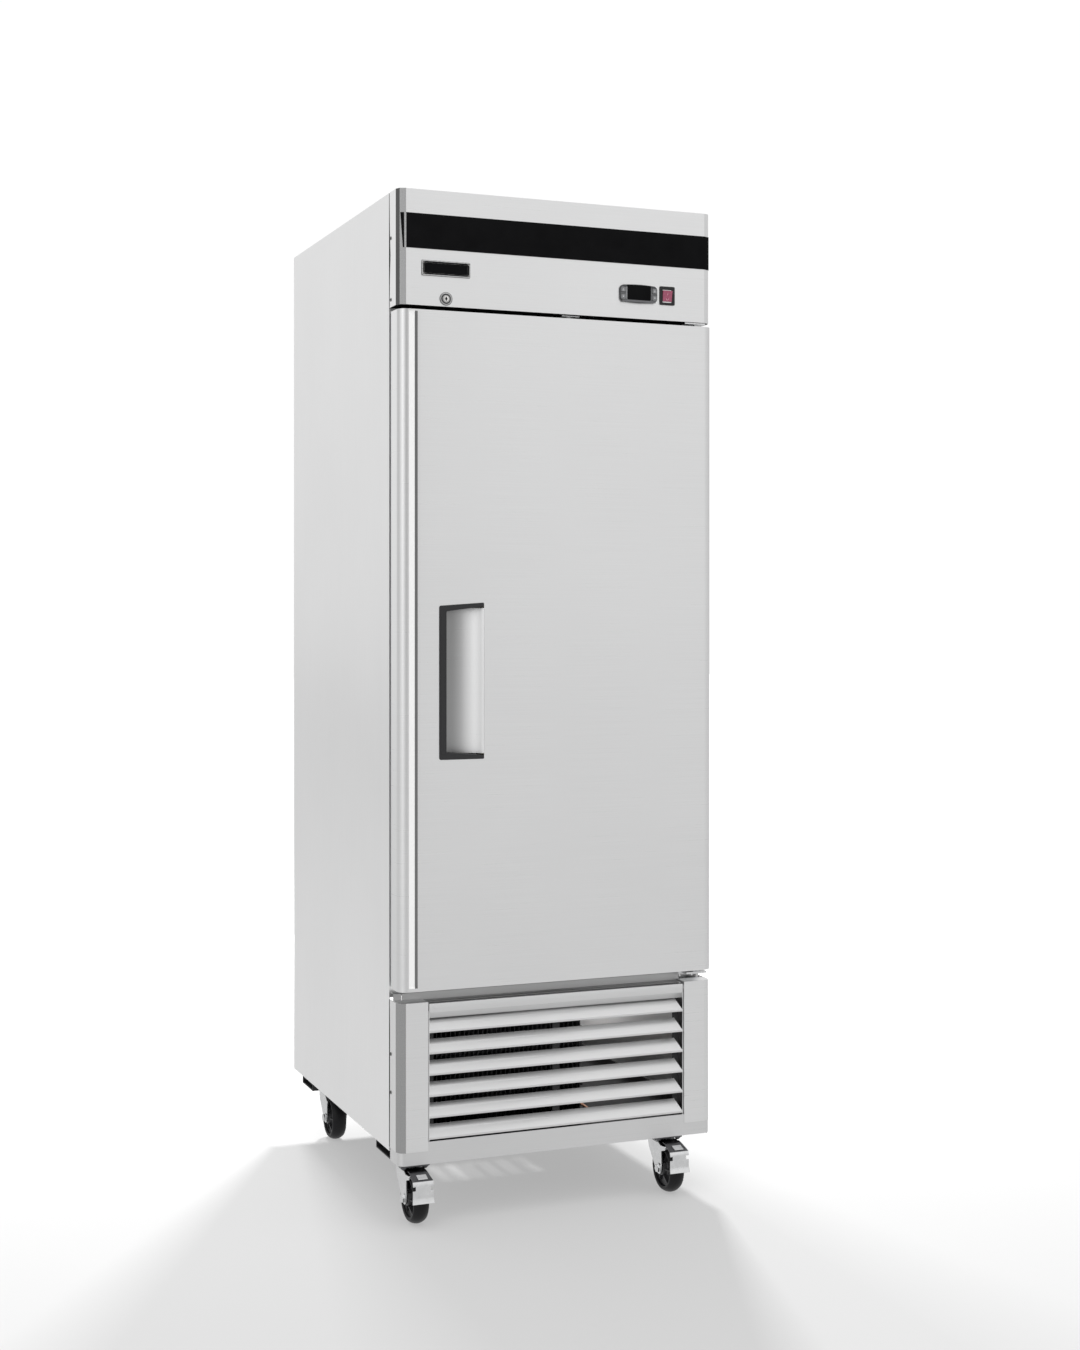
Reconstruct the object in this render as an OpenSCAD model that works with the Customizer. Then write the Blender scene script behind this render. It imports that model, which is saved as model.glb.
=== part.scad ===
// Reach-in refrigerator: one solid door, bottom-mounted cooling unit, four swivel casters.
// Frame: +Z up, the door faces -Y, origin on the floor under the middle of the bounding box. Millimetres.

/* [Overall size] */
// outside width of the cabinet
cabinet_width = 686; // [650:2:760]
// depth from the front plane of the header to the back panel
cabinet_depth = 805; // [780:5:860]
// height of the steel body above the casters
body_height = 1905; // [1825:5:2005]
// wall thickness of the insulated body
wall = 60; // [54:1:66]

/* [Header] */
// height of the control header
header_height = 229; // [210:1:250]
// radius of the rounded vertical corners of header and base
corner_radius = 16; // [12:0.5:20]
// depth of the side returns of header and base
return_depth = 59; // [56:1:64]
// height of the black fascia band
band_height = 69; // [50:1:80]
// drop from the top edge to the black band
band_drop = 48; // [40:1:60]

/* [Door] */
// how far the door front stands proud of the header
door_proud = 7; // [5:0.5:9]
// gap above the door
door_gap = 9; // [7:0.5:12]
// radius of the door's vertical edges
door_radius = 26; // [20:1:30]
// height of the recessed pull handle
handle_height = 308; // [260:2:340]

/* [Base] */
// height of the louvred base front
base_height = 294; // [280:2:310]
// number of louvre slats
slat_count = 6; // [5:1:7]

/* [Inside] */
// number of wires in one shelf
shelf_wires = 21; // [15:1:27]
// height of the lowest shelf above the floor of the compartment
shelf_start = 210; // [160:5:240]
// distance between shelves
shelf_pitch = 330; // [260:5:340]

/* [Casters] */
// wheel diameter
wheel_diameter = 100; // [96:1:101]
// tread width
wheel_width = 32; // [28:1:33]
// running clearance of the wheel on its axle, on the radius
axle_clearance = 0.05; // [0.03:0.01:0.08]

/* [Hidden] */
$fn = 64;
cw = cabinet_width / 2;
reach = 40;
yf = -(cabinet_depth + reach) / 2 + reach;
yb = yf + cabinet_depth;
lift = 135;
ztop = lift + body_height;
zhead = ztop - header_height;
zdoor1 = zhead - door_gap;
zpil0 = lift + 8;
zpil1 = zpil0 + base_height;
zdoor0 = zpil1 + 23;
yr = yf + return_depth;
ydf = yf - door_proud;
ydb = yr - 13;
hx = cw - 25;
hy = yf + 23;
ox = cw - wall;
oz0 = zdoor0 + 55;
oz1 = zdoor1 - 55;
iz0 = oz0 - 12;
iz1 = ztop - 65;
iy1 = yb - wall;
ym0 = yf + 53;
ym1 = yf + 700;
fx = [-(cw - 40), cw - 91];
rx = [-(cw - 59), cw - 59];
cast = [[fx[0], ym0], [fx[1], ym0], [rx[0], ym1], [rx[1], ym1]];
trail = 35;
pin_y = -62;
pin_z = lift - 37;
wr = wheel_diameter / 2;
hz = 1070;
hxl = -(cw - 84);
hxr = hxl + 93;
gz0 = lift + 26;
gz1 = zpil1 - 4;
gw = cw - 64;
slat_depth = 18;
slat_rise = 26.5;

steel = [0.78, 0.79, 0.8];
dark = [0.08, 0.08, 0.09];
zinc = [0.7, 0.72, 0.74];
white = [0.93, 0.93, 0.91];
foam = [0.9, 0.85, 0.6];

// a plan outline with rounded front corners, its front on y = 0
module front_shape(w, r, d) {
  translate([-w / 2, r]) square([w, d - r]);
  translate([-w / 2 + r, 0]) square([w - 2 * r, d]);
  for (s = [-1, 1]) translate([s * (w / 2 - r), r]) circle(r);
}

// a sheet wrapped round the front: open at the back
module wrap(w, r, d, t) {
  difference() {
    front_shape(w, r, d);
    translate([0, t]) front_shape(w - 2 * t, r - t, d);
  }
}

// box between two corners
module span(a, b) {
  translate(a) cube(b - a);
}

// cylinder along x, centred on x
module xcyl(r, h) {
  rotate([0, 90, 0]) cylinder(r = r, h = h, center = true);
}

// cylinder along -y from y = 0
module ycyl(r, h) {
  rotate([90, 0, 0]) cylinder(r = r, h = h);
}

module outer_wrap() {
  color(steel) {
    difference() {
      span([-cw, yr, lift], [cw, yb - 1, ztop]);
      span([-cw + 1.2, yr - 1, lift - 1], [cw - 1.2, yb, ztop - 1.2]);
    }
    for (s = [-1, 1]) {
      translate([s * (cw - 7), 0, 0]) span([-7, yr, zdoor0 - 20], [7, yr + 1.2, zdoor1 + 10]);
      translate([s * (cw - 2), 0, 0]) span([-2, yr, lift], [2, yb - 1, lift + 1.2]);
    }
    span([-cw + 0.6, yr + 1.8, zdoor1 + 8.2], [cw - 0.6, yr + 3, ztop - 0.6]);
    difference() {
      span([-cw + 0.6, yr + 3, zpil1 + 14], [cw - 0.6, yb - 1, zpil1 + 16]);
      translate([cw - 40, yb - 45, zpil1]) cylinder(r = 16, h = 30);
    }
  }
}

module back_panel() {
  color(zinc) difference() {
    span([-cw, yb - 1, zpil1 + 14], [cw, yb, ztop]);
    for (z = [0 : 5]) span([-40, yb - 2, ztop - 60 + z * 6], [40, yb + 1, ztop - 57 + z * 6]);
  }
}

module inner_liner() {
  color(zinc) {
    difference() {
      span([-ox, yr + 3, iz0], [ox, iy1, iz1]);
      span([-ox + 1, yr + 2, iz0 + 1], [ox - 1, iy1 - 1, iz1 - 1]);
    }
    for (s = [-1, 1]) translate([s * (ox - 7), 0, iz0 + 7]) difference() {
      span([-6, yr + 3, -6], [6, iy1 - 1, 6]);
      translate([-s * 6, (yr + iy1) / 2, 6]) rotate([90, 0, 0])
        cylinder(r = 11.5, h = cabinet_depth, center = true);
    }
  }
}

module cabinet_foam() {
  color(foam) difference() {
    span([-cw + 1.2, yr + 3, zpil1 + 16], [cw - 1.2, yb - 1, ztop - 1.2]);
    span([-ox, yr, iz0], [ox, iy1, iz1]);
    translate([cw - 40, yb - 45, 0]) cylinder(r = 16, h = iz0 + 80);
  }
}

module front_frame() {
  color([0.85, 0.86, 0.87]) {
    difference() {
      span([-cw + 14, yr, zdoor0 - 18], [cw - 14, yr + 3, zdoor1 + 8]);
      span([-ox + 3, yr - 1, oz0], [ox - 3, yr + 4, oz1]);
    }
    difference() {
      span([-ox + 1, yr + 3, iz0 + 14], [ox - 1, yr + 18, iz1 - 1]);
      span([-ox + 3, yr, oz0], [ox - 3, yr + 19, oz1]);
      span([-ox + 3, yr + 5, oz1 + 2], [ox - 3, yr + 19, iz1 - 3]);
    }
  }
}

module header_panel() {
  color(steel) difference() {
    union() {
      translate([0, yf, zhead]) linear_extrude(header_height)
        wrap(2 * cw, corner_radius, return_depth, 1.2);
      translate([0, yf + 0.6, ztop - 1.2]) linear_extrude(1.2)
        front_shape(2 * cw - 1.2, corner_radius - 0.6, return_depth - 0.6);
      translate([0, yf + 0.6, zhead]) linear_extrude(1.2)
        front_shape(2 * cw - 1.2, corner_radius - 0.6, return_depth - 0.6);
    }
    translate([-(cw - 99), yf + 5, zhead + 15.5]) ycyl(10, 20);
    span([cw - 208, yf - 5, zhead + 36], [cw - 129, yf + 5, zhead + 66]);
    span([cw - 117, yf - 5, zhead + 33], [cw - 88, yf + 5, zhead + 68]);
    span([14, yf + 14, zhead - 1], [42, yf + 30, zhead + 5]);
    translate([hx, hy, zhead - 1]) cylinder(r = 8.5, h = 4);
    span([hx - 36, yr - 4, zhead - 1], [hx + 15, yr + 1, zhead + 3]);
  }
}

module fascia_band() {
  zb = ztop - band_drop - band_height;
  color([0.02, 0.02, 0.02]) translate([0, yf, zb]) linear_extrude(band_height)
    polygon([[-cw + 13.5, -0.05], [-cw + 16, -2.5], [cw - 16, -2.5], [cw - 13.5, -0.05]]);
}

module badge() {
  color([0.75, 0.76, 0.77]) difference() {
    span([-(cw - 48), yf - 2.6, ztop - 170], [-(cw - 150), yf - 0.02, ztop - 139]);
    span([-(cw - 53), yf - 4, ztop - 166], [-(cw - 145), yf - 1.6, ztop - 143]);
  }
}

module lock_body() {
  color(zinc) translate([-(cw - 99), yf, zhead + 15.5]) difference() {
    union() {
      ycyl(13, 2);
      translate([0, 24, 0]) ycyl(9.6, 24);
      translate([0, 8, 0]) rotate([90, 0, 0]) cylinder(r = 14, h = 5, $fn = 6);
    }
    translate([0, 30, 0]) ycyl(6.55, 40);
  }
}

module lock_plug() {
  color(zinc) translate([-(cw - 99), yf, zhead + 15.5]) {
    difference() {
      translate([0, 26, 0]) ycyl(6.5, 28.4);
      span([-0.9, -3, -4.2], [0.9, 3, 4.2]);
    }
    difference() {
      span([-7, 24.4, -9], [7, 26.4, 30]);
      translate([0, 30, 24]) ycyl(2, 10);
    }
  }
}

module controller_bezel() {
  color([0.35, 0.36, 0.38]) {
    difference() {
      span([cw - 212, yf - 5, zhead + 32], [cw - 125, yf - 0.05, zhead + 70]);
      span([cw - 196, yf - 6, zhead + 38], [cw - 141, yf + 1, zhead + 64]);
      for (x = [cw - 204, cw - 133], z = [zhead + 43.5, zhead + 58.5])
        span([x - 5.3, yf - 6, z - 5.3], [x + 5.3, yf + 1, z + 5.3]);
    }
    difference() {
      span([cw - 200, yf - 0.1, zhead + 37], [cw - 137, yf + 30, zhead + 65]);
      span([cw - 198.5, yf - 1, zhead + 38.5], [cw - 138.5, yf + 28, zhead + 63.5]);
    }
  }
}

module controller_window() {
  color([0.02, 0.02, 0.03]) {
    span([cw - 196, yf - 4.2, zhead + 38], [cw - 141, yf - 0.1, zhead + 64]);
    span([cw - 190, yf - 0.2, zhead + 39], [cw - 147, yf + 27.9, zhead + 43]);
  }
}

module button_at(x, z) {
  color([0.6, 0.62, 0.64]) {
    span([x - 5, yf - 6, z - 5], [x + 5, yf - 3, z + 5]);
    span([x - 2, yf - 3.1, z - 2], [x + 2, yf + 3, z + 2]);
  }
}
module button_left_upper() { button_at(cw - 204, zhead + 58.5); }
module button_left_lower() { button_at(cw - 204, zhead + 43.5); }
module button_right_upper() { button_at(cw - 133, zhead + 58.5); }
module button_right_lower() { button_at(cw - 133, zhead + 43.5); }

module rocker_housing() {
  color(dark) {
    difference() {
      span([cw - 120, yf - 3, zhead + 30], [cw - 85, yf - 0.05, zhead + 71]);
      span([cw - 113.5, yf - 4, zhead + 37], [cw - 91.5, yf + 1, zhead + 64]);
    }
    difference() {
      span([cw - 116.5, yf - 0.1, zhead + 33.5], [cw - 88.5, yf + 26, zhead + 67.5]);
      span([cw - 113.5, yf - 1, zhead + 36], [cw - 91.5, yf + 22, zhead + 65]);
    }
    for (z = [40, 58]) span([cw - 105, yf + 25.9, zhead + z], [cw - 100, yf + 35, zhead + z + 1]);
    translate([cw - 102.5, yf + 4, zhead + 50.5]) xcyl(2, 23);
  }
}

module rocker() {
  color([0.75, 0.12, 0.12]) translate([cw - 102.5, yf + 4, zhead + 50.5]) difference() {
    rotate([90, 0, 90]) translate([0, 0, -10.5]) linear_extrude(21)
      polygon([[-5.5, -11], [-7, 0], [-10, 11], [-1, 11.4], [8, 5], [8, -5], [-1, -11.4]]);
    xcyl(2.05, 30);
  }
}

module top_hinge() {
  color(zinc) {
    span([hx - 34, yf + 4, zhead - 3.2], [hx + 13, yr, zhead]);
    span([hx - 34, yr - 2.5, zhead - 0.1], [hx + 13, yr, zhead + 34]);
    translate([hx, hy, zhead - 19]) cylinder(r = 6, h = 23);
  }
}

module bottom_hinge() {
  color(zinc) difference() {
    union() {
      span([hx - 30, yf + 5, zpil1 + 14], [hx + 17, yr, zpil1 + 18]);
      span([hx - 30, yr - 2.5, zpil1 - 26], [hx + 17, yr, zpil1 + 14.1]);
      translate([hx, hy, zpil1 + 17.9]) cylinder(r = 10, h = 3.1);
      translate([hx, hy, zpil1 + 17.9]) cylinder(r = 6, h = 21);
    }
    for (x = [-20, 8], z = [-14, 2]) translate([hx + x, yr + 1, zpil1 + z]) ycyl(2.6, 5);
  }
}

module switch_body() {
  color(zinc) difference() {
    union() {
      span([9, yf + 10, zhead - 2.5], [47, yf + 34, zhead]);
      span([14.5, yf + 14.5, zhead - 0.1], [41.5, yf + 29.5, zhead + 22]);
    }
    translate([28, yf + 22, zhead - 5]) cylinder(r = 5.08, h = 24);
  }
}

module switch_plunger() {
  color(white) translate([28, yf + 22, 0]) {
    translate([0, 0, zhead - 4.5]) cylinder(r = 5, h = 19);
  }
}

module channel(y0, y1, x) {
  difference() {
    span([-x, y0, lift - 20], [x, y1, lift + 1.1]);
    span([-x - 1, y0 + 2.5, lift - 17.5], [x + 1, y1 - 2.5, lift + 2]);
  }
}

module base_frame() {
  color([0.12, 0.12, 0.13]) {
    channel(yf + 9, yf + 163, cw - 5);
    channel(ym1 - 44, ym1 + 44, cw - 5);
    difference() {
      span([-cw + 4.4, yf + 20, lift + 1], [cw - 4.4, yb - 12, lift + 3]);
      for (x = [-120 : 40 : 120]) span([x, yf + 420, lift], [x + 14, yf + 530, lift + 4]);
    }
    span([-cw + 5, yb - 14, lift + 1], [cw - 5, yb - 12, lift + 30]);
    for (s = [-1, 1]) translate([s * (cw - 3), 0, 0]) {
      span([-1.7, yr + 2, lift + 1.3], [1.7, yb - 12, lift + 25]);
    }
    for (x = [-cw + 30, cw - 60])
      span([x, ym1 + 80, lift + 3], [x + 30, ym1 + 84, zpil1 + 14]);
  }
}

module base_rails() {
  color(steel) {
    translate([0, yf + 1.4, lift - 18]) linear_extrude(44)
      wrap(2 * cw - 2.8, corner_radius - 1.4, return_depth - 2, 1.2);
    span([-cw + 20, yf + 1.4, lift - 18], [cw - 20, yf + 9, lift - 16.8]);
    difference() {
      span([-cw + 1.6, yr - 22, zpil1 - 16], [cw - 1.6, yr, zpil1 + 14]);
      span([-cw, yr - 20.8, zpil1 - 17], [cw, yr - 1.2, zpil1 + 12.8]);
      span([hx - 33, yr - 23, zpil1 - 27], [hx + 19, yr + 1, zpil1 + 15]);
    }
    span([-cw + 20, yf + 12, zpil1 - 3], [hx - 33, yr - 20, zpil1 - 1.8]);
  }
}

module pillars() {
  color(steel) translate([0, yf, zpil0]) {
    difference() {
      linear_extrude(base_height) wrap(2 * cw, corner_radius, return_depth, 1.2);
      span([-cw + 63, -1, -1], [cw - 63, 10, base_height + 1]);
    }
    for (s = [-1, 1]) translate([s * (cw - 62.4), 0, 0])
      span([-0.6, 0.1, 19], [0.6, 14, base_height - 14]);
    for (s = [-1, 1]) intersection() {
      translate([0, 0.6, base_height - 1.2]) linear_extrude(1.2)
        front_shape(2 * cw - 1.2, corner_radius - 0.6, return_depth - 23);
      translate([s * (cw - 31.5), 0, base_height - 2]) span([-31.5, 0, 0], [31.5, 80, 4]);
    }
  }
}

// one blade: a short front lip, then a plate rising toward the back
module slat(z) {
  back = yf + 3 + slat_depth;
  translate([-gw + 1.5, 0, z]) rotate([90, 0, 90]) linear_extrude(2 * gw - 3)
    polygon([[yf + 3, 3], [yf + 4.2, 3], [yf + 4.2, 6.2], [back, slat_rise + 2],
      [back, slat_rise + 3.2], [back - 1, slat_rise + 3.2], [yf + 3, 7.2]]);
}

module louvre_grille() {
  pitch = (gz1 - 19 - gz0) / slat_count;
  back = yf + 3 + slat_depth;
  color(steel) {
    span([-gw, yf + 2.6, gz1 - 19], [gw, yf + 3.8, gz1]);
    span([-gw, yf + 2.6, gz1 - 1.2], [gw, yf + 12, gz1]);
    for (s = [-1, 1]) translate([s * (gw - 0.75), 0, 0])
      span([-0.75, yf + 2.6, gz0 + 0.3], [0.75, back + 3, gz1 - 15]);
    for (i = [0 : slat_count - 1]) slat(gz0 + i * pitch);
    for (x = [-gw + 1, -7.5, gw - 16]) span([x, back - 0.1, gz0 + 0.3], [x + 15, back + 1.5, gz1 - 15]);
  }
}

module compressor() {
  color(dark) translate([120, yb - 190, lift + 3]) {
    difference() {
      translate([0, 0, 14]) linear_extrude(3) square([190, 130], center = true);
      for (x = [-82, 82], y = [-52, 52]) translate([x, y, 10]) cylinder(r = 5, h = 10);
    }
    for (x = [-82, 82], y = [-52, 52]) translate([x, y, 0]) difference() {
      cylinder(r = 13, h = 14);
      translate([0, 0, -1]) cylinder(r = 5, h = 20);
    }
    translate([0, 0, 16.9]) cylinder(r = 68, h = 96);
    translate([0, 0, 112.8]) scale([1, 1, 1]) difference() {
      sphere(r = 68);
      translate([0, 0, -80]) cube([200, 200, 160], center = true);
      translate([0, 0, 100]) cube([200, 200, 100], center = true);
    }
    translate([0, 0, 56]) cylinder(r = 70, h = 6);
    span([60, -26, 40], [84, 26, 104]);
  }
}

module condenser_coil() {
  x0 = -250;
  x1 = 90;
  y0 = yf + 100;
  color([0.2, 0.2, 0.21]) {
    for (i = [0 : 33]) span([x0 + i * 10, y0, lift + 4], [x0 + i * 10 + 1.2, y0 + 66, lift + 250]);
    for (z = [0 : 7], y = [16, 50])
      translate([(x0 + x1) / 2, y0 + y, lift + 24 + z * 29]) xcyl(4.8, x1 - x0 + 14);
    for (x = [x0 - 2, x1 - 6.2]) span([x, y0 - 4, lift + 3], [x + 2, y0 + 70, lift + 254]);
  }
}

module condenser_shroud() {
  y0 = yf + 170.1;
  color(dark) {
    difference() {
      span([-252, y0, lift + 3], [90, y0 + 44, lift + 254]);
      span([-250, y0 - 1, lift + 5], [88, y0 + 42, lift + 252]);
      translate([-81, y0 + 50, lift + 129]) ycyl(112, 20);
    }
    difference() {
      translate([-81, y0 + 60, lift + 129]) ycyl(114, 18.1);
      translate([-81, y0 + 61, lift + 129]) ycyl(112, 30);
    }
    translate([-81, y0 + 118, lift + 129]) ycyl(34, 40);
    for (a = [45 : 90 : 315]) translate([-81, y0 + 92, lift + 129]) rotate([0, a, 0])
      span([-5, -2, 30], [5, 2, 128]);
    for (a = [45 : 90 : 315]) translate([-81, y0 + 92, lift + 129]) rotate([0, a, 0])
      span([-5, -50.1, 122], [5, -1, 126]);
    translate([-81, y0 + 79, lift + 129]) ycyl(5, 24);
  }
}

module blades(n, r0, r1, w, tilt) {
  for (i = [0 : n - 1]) rotate([0, i * 360 / n, 0]) translate([0, 0, r0])
    rotate([0, 0, tilt]) translate([-w / 2, -0.9, 0]) cube([w, 1.8, r1 - r0]);
}

module condenser_fan() {
  color([0.15, 0.15, 0.16]) translate([-81, yf + 170.1 + 60, lift + 129]) {
    difference() {
      union() {
        translate([0, 10, 0]) ycyl(26, 20);
        blades(5, 22, 104, 44, 28);
      }
      translate([0, 30, 0]) ycyl(5.05, 60);
    }
  }
}

// a bent tube through straight runs with round knees
module run(p, r) {
  for (i = [0 : len(p) - 2]) {
    d = p[i + 1] - p[i];
    h = norm(d);
    translate(p[i]) rotate([0, acos(d[2] / h), atan2(d[1], d[0])]) cylinder(r = r, h = h);
    translate(p[i + 1]) sphere(r = r * 1.06, $fn = 24);
  }
}

module refrigerant_tubes() {
  xc = 120;
  yc = yb - 190;
  color([0.72, 0.4, 0.25]) {
    run([[xc - 40, yc - 58.5, lift + 90], [xc - 40, yc - 100, lift + 90], [xc - 40, yc - 100, lift + 227],
      [102, yf + 150, lift + 227]], 4);
    run([[xc + 30, yc + 64.5, lift + 80], [xc + 30, yb - 45, lift + 80], [cw - 40, yb - 45, lift + 80],
      [cw - 40, yb - 45, iz0 + 60]], 5);
    run([[102, yf + 116, lift + 24], [115, yf + 116, lift + 24], [115, yf + 250, lift + 30]], 3.4);
    translate([115, yf + 250, lift + 30]) rotate([-80, 0, 0]) cylinder(r = 10, h = 90);
    run([[115, yf + 338, lift + 45], [115, yf + 360, lift + 60], [cw - 52, yb - 45, lift + 60],
      [cw - 52, yb - 45, lift + 200]], 2);
  }
}

module condensate_pan() {
  color(dark) difference() {
    span([-250, yb - 200, lift + 3], [-60, yb - 30, lift + 45]);
    span([-247, yb - 197, lift + 6], [-63, yb - 33, lift + 46]);
  }
}

module evaporator_cover() {
  z0 = iz1 - 185;
  y0 = yr + 110;
  y1 = iy1 - 60;
  color(white) {
    difference() {
      span([-240, y0, z0], [240, y1, iz1 - 1]);
      span([-238, y0 + 2, z0 + 2], [238, y1 + 1, iz1]);
      translate([0, y0 + 10, z0 + 95]) ycyl(78, 20);
    }
    difference() {
      translate([0, y0, z0 + 95]) ycyl(80, 8);
      translate([0, y0 + 3, z0 + 95]) ycyl(78, 20);
    }
    for (i = [1 : 4]) difference() {
      translate([0, y0 - 6, z0 + 95]) ycyl(18 * i, 1.6);
      translate([0, y0 - 4, z0 + 95]) ycyl(18 * i - 2, 8);
    }
    for (a = [0 : 45 : 315]) translate([0, y0 - 6.9, z0 + 95]) rotate([0, a, 0])
      span([-1.2, -0.7, 14], [1.2, 0.7, 79]);
    translate([0, y0 + 68, z0 + 95]) ycyl(26, 34);
    translate([0, y0 + 35, z0 + 95]) ycyl(4, 22);
    for (a = [45 : 90 : 315]) translate([0, y0 + 60, z0 + 95]) rotate([0, a, 0])
      span([-4, -1.5, 24], [4, 1.5, 88]);
    for (a = [45 : 90 : 315]) translate([0, y0 + 60, z0 + 95]) rotate([0, a, 0])
      span([-4, -59, 84], [4, 1, 88]);
  }
}

module evaporator_fan() {
  color([0.2, 0.2, 0.22]) translate([0, yr + 132, iz1 - 90]) difference() {
    union() {
      translate([0, 9, 0]) ycyl(20, 16);
      blades(5, 17, 72, 34, 26);
    }
    translate([0, 30, 0]) ycyl(4.05, 60);
  }
}

module evaporator_coil() {
  y0 = yr + 230;
  y1 = iy1 - 70;
  color([0.75, 0.77, 0.8]) {
    for (i = [0 : 40]) span([-210 + i * 10, y0, iz1 - 165], [-209 + i * 10, y1, iz1 - 12]);
    for (z = [0 : 3], y = [y0 + 30, (y0 + y1) / 2, y1 - 30])
      translate([-5, y, iz1 - 145 + z * 38]) xcyl(4.8, 424);
    for (x = [-214, 201]) span([x, y0 - 3, iz1 - 170], [x + 2, y1 + 3, iz1 - 1.2]);
  }
}

// the closed mains box on the deck, its lid toward the back
module terminal_box() {
  color(dark) translate([100, yb - 17.5, lift + 3]) {
    difference() {
      span([-40, -55, 0], [40, -3, 42]);
      span([-38, -53, 2], [38, -2, 40]);
    }
    span([-41, -3.1, 0], [41, 0, 43]);
    for (x = [-34, 34], z = [7, 35]) translate([x, 0, z]) difference() {
      ycyl(3, 4);
      translate([0, 0.01, 0]) cube([1.2, 1.6, 8], center = true);
    }
    for (z = [12, 24]) translate([-44, -26, z]) rotate([0, 90, 0]) cylinder(r = 5, h = 5, $fn = 6);
  }
}

module led_light() {
  color([0.95, 0.97, 1]) {
    span([-200, yr + 20, iz1 - 16], [200, yr + 52, iz1 - 1]);
    translate([0, yr + 36, iz1 - 16]) rotate([0, 90, 0]) cylinder(r = 12, h = 380, center = true);
  }
}

shelf_z = [for (i = [0 : 2]) iz0 + shelf_start + i * shelf_pitch];

module pilasters() {
  color(zinc) {
    for (s = [-1, 1], y = [yr + 80, iy1 - 110]) {
      difference() {
        translate([s * (ox - 4), y, 0]) span([-3, -9, iz0 + 60], [3, 9, iz1 - 200]);
        translate([s * (ox - 7), y, 0]) for (z = [iz0 + 80 : 60 : iz1 - 220])
          span([-3, -3.5, z], [3, 3.5, z + 14]);
      }
      for (z = shelf_z) translate([s * (ox - 13), y, z - 7.2]) {
        span([-6, -8, 0], [6, 8, 4]);
        translate([s * 4, 0, 0]) span([-2.1, -7, -18], [2.1, 7, 4]);
      }
    }
  }
}

module shelf_at(z) {
  w = 2 * ox - 24;
  y0 = yr + 45;
  y1 = iy1 - 35;
  color([0.88, 0.89, 0.9]) translate([0, 0, z]) {
    for (s = [-1, 1]) translate([s * (w / 2 - 3.2), y1, 0]) ycyl(3.2, y1 - y0);
    for (y = [y0, y0 + (y1 - y0) / 3, y0 + 2 * (y1 - y0) / 3, y1]) translate([0, y, 0]) xcyl(3.2, w - 6.4);
    for (s = [-1, 1], y = [y0, y1]) translate([s * (w / 2 - 3.2), y, 0]) sphere(r = 3.2);
    for (i = [1 : shelf_wires]) translate([-w / 2 + i * w / (shelf_wires + 1), y1 + 3, 3.6])
      ycyl(1.5, y1 - y0 + 6);
  }
}
module shelf_lower() { shelf_at(shelf_z[0]); }
module shelf_middle() { shelf_at(shelf_z[1]); }
module shelf_upper() { shelf_at(shelf_z[2]); }

module caster_plates() {
  color(zinc) for (c = cast) translate([c[0], c[1], 0]) {
    difference() {
      span([-30, -44, lift - 23], [30, 44, lift - 20]);
      for (x = [-22, 22], y = [-34, 34]) translate([x, y, lift - 30]) cylinder(r = 4.2, h = 20);
    }
    for (x = [-22, 22], y = [-34, 34]) translate([x, y, lift - 26.5])
      cylinder(r = 6.5, h = 3.6, $fn = 6);
    translate([0, 0, lift - 24.6]) cylinder(r = 22, h = 2);
    translate([0, 0, lift - 34]) cylinder(r = 7, h = 12);
    translate([0, 0, lift - 37]) cylinder(r = 11, h = 3.2);
  }
}

// a swivel fork; the wheel hangs toward -y
module fork_at(c, brake = false) {
  color(zinc) translate([c[0], c[1], 0]) {
    difference() {
      union() {
        translate([0, 0, lift - 31.5]) cylinder(r = 24, h = 6.6);
        difference() {
          span([-21.5, -44, lift - 33.5], [21.5, 20, lift - 31]);
          translate([0, 0, lift - 40]) for (s = [-1, 1]) translate([s * 21.5, 20, 0])
            rotate([0, 0, 45]) cube([16, 16, 30], center = true);
        }
      }
      translate([0, 0, lift - 50]) cylinder(r = 7.05, h = 40);
    }
    for (s = [-1, 1]) translate([s * 20.25, 0, 0]) rotate([90, 0, 90])
      translate([0, 0, -1.25]) linear_extrude(2.5) difference() {
        polygon(concat([[20, lift - 31.5], [14, lift - 52], [-22, wr - 9], [-30, wr - 12],
          [-38, wr - 12], [-45, wr - 6], [-48, wr + 4], [-46, lift - 45]], brake ?
          [[-64, lift - 41.5], [-67, lift - 37], [-66, lift - 33.5], [-58, lift - 33.5],
            [-50, lift - 36.5]] : [], [[-44, lift - 31.5]]));
        translate([-trail, wr]) circle(5.9);
        if (brake) translate([pin_y, pin_z]) circle(2.55);
      }
    translate([0, -trail, wr]) {
      xcyl(6, 45);
      for (s = [-1, 1]) translate([s * 24.6, 0, 0]) rotate([0, 90, 0])
        cylinder(r = 8.6, h = 6.4, center = true, $fn = 6);
      for (s = [-1, 1]) translate([s * 22, 0, 0]) xcyl(10, 1.4);
    }
  }
}
module fork_fl() { fork_at(cast[0], true); }
module fork_fr() { fork_at(cast[1], true); }
module fork_rl() { fork_at(cast[2]); }
module fork_rr() { fork_at(cast[3]); }

module wheel_at(c) {
  w = wheel_width / 2;
  color(dark) translate([c[0], c[1] - trail, wr]) rotate([0, 90, 0]) difference() {
    union() {
      rotate_extrude($fn = 96) {
        translate([wr - 11, 0]) intersection() {
          translate([-11, 0]) circle(22);
          square([30, 2 * w], center = true);
        }
        translate([10, -8]) square([wr - 18, 16]);
      }
      cylinder(r = 15, h = 36, center = true);
    }
    cylinder(r = 6 + axle_clearance, h = 60, center = true);
  }
}
module wheel_fl() { wheel_at(cast[0]); }
module wheel_fr() { wheel_at(cast[1]); }
module wheel_rl() { wheel_at(cast[2]); }
module wheel_rr() { wheel_at(cast[3]); }

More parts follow.
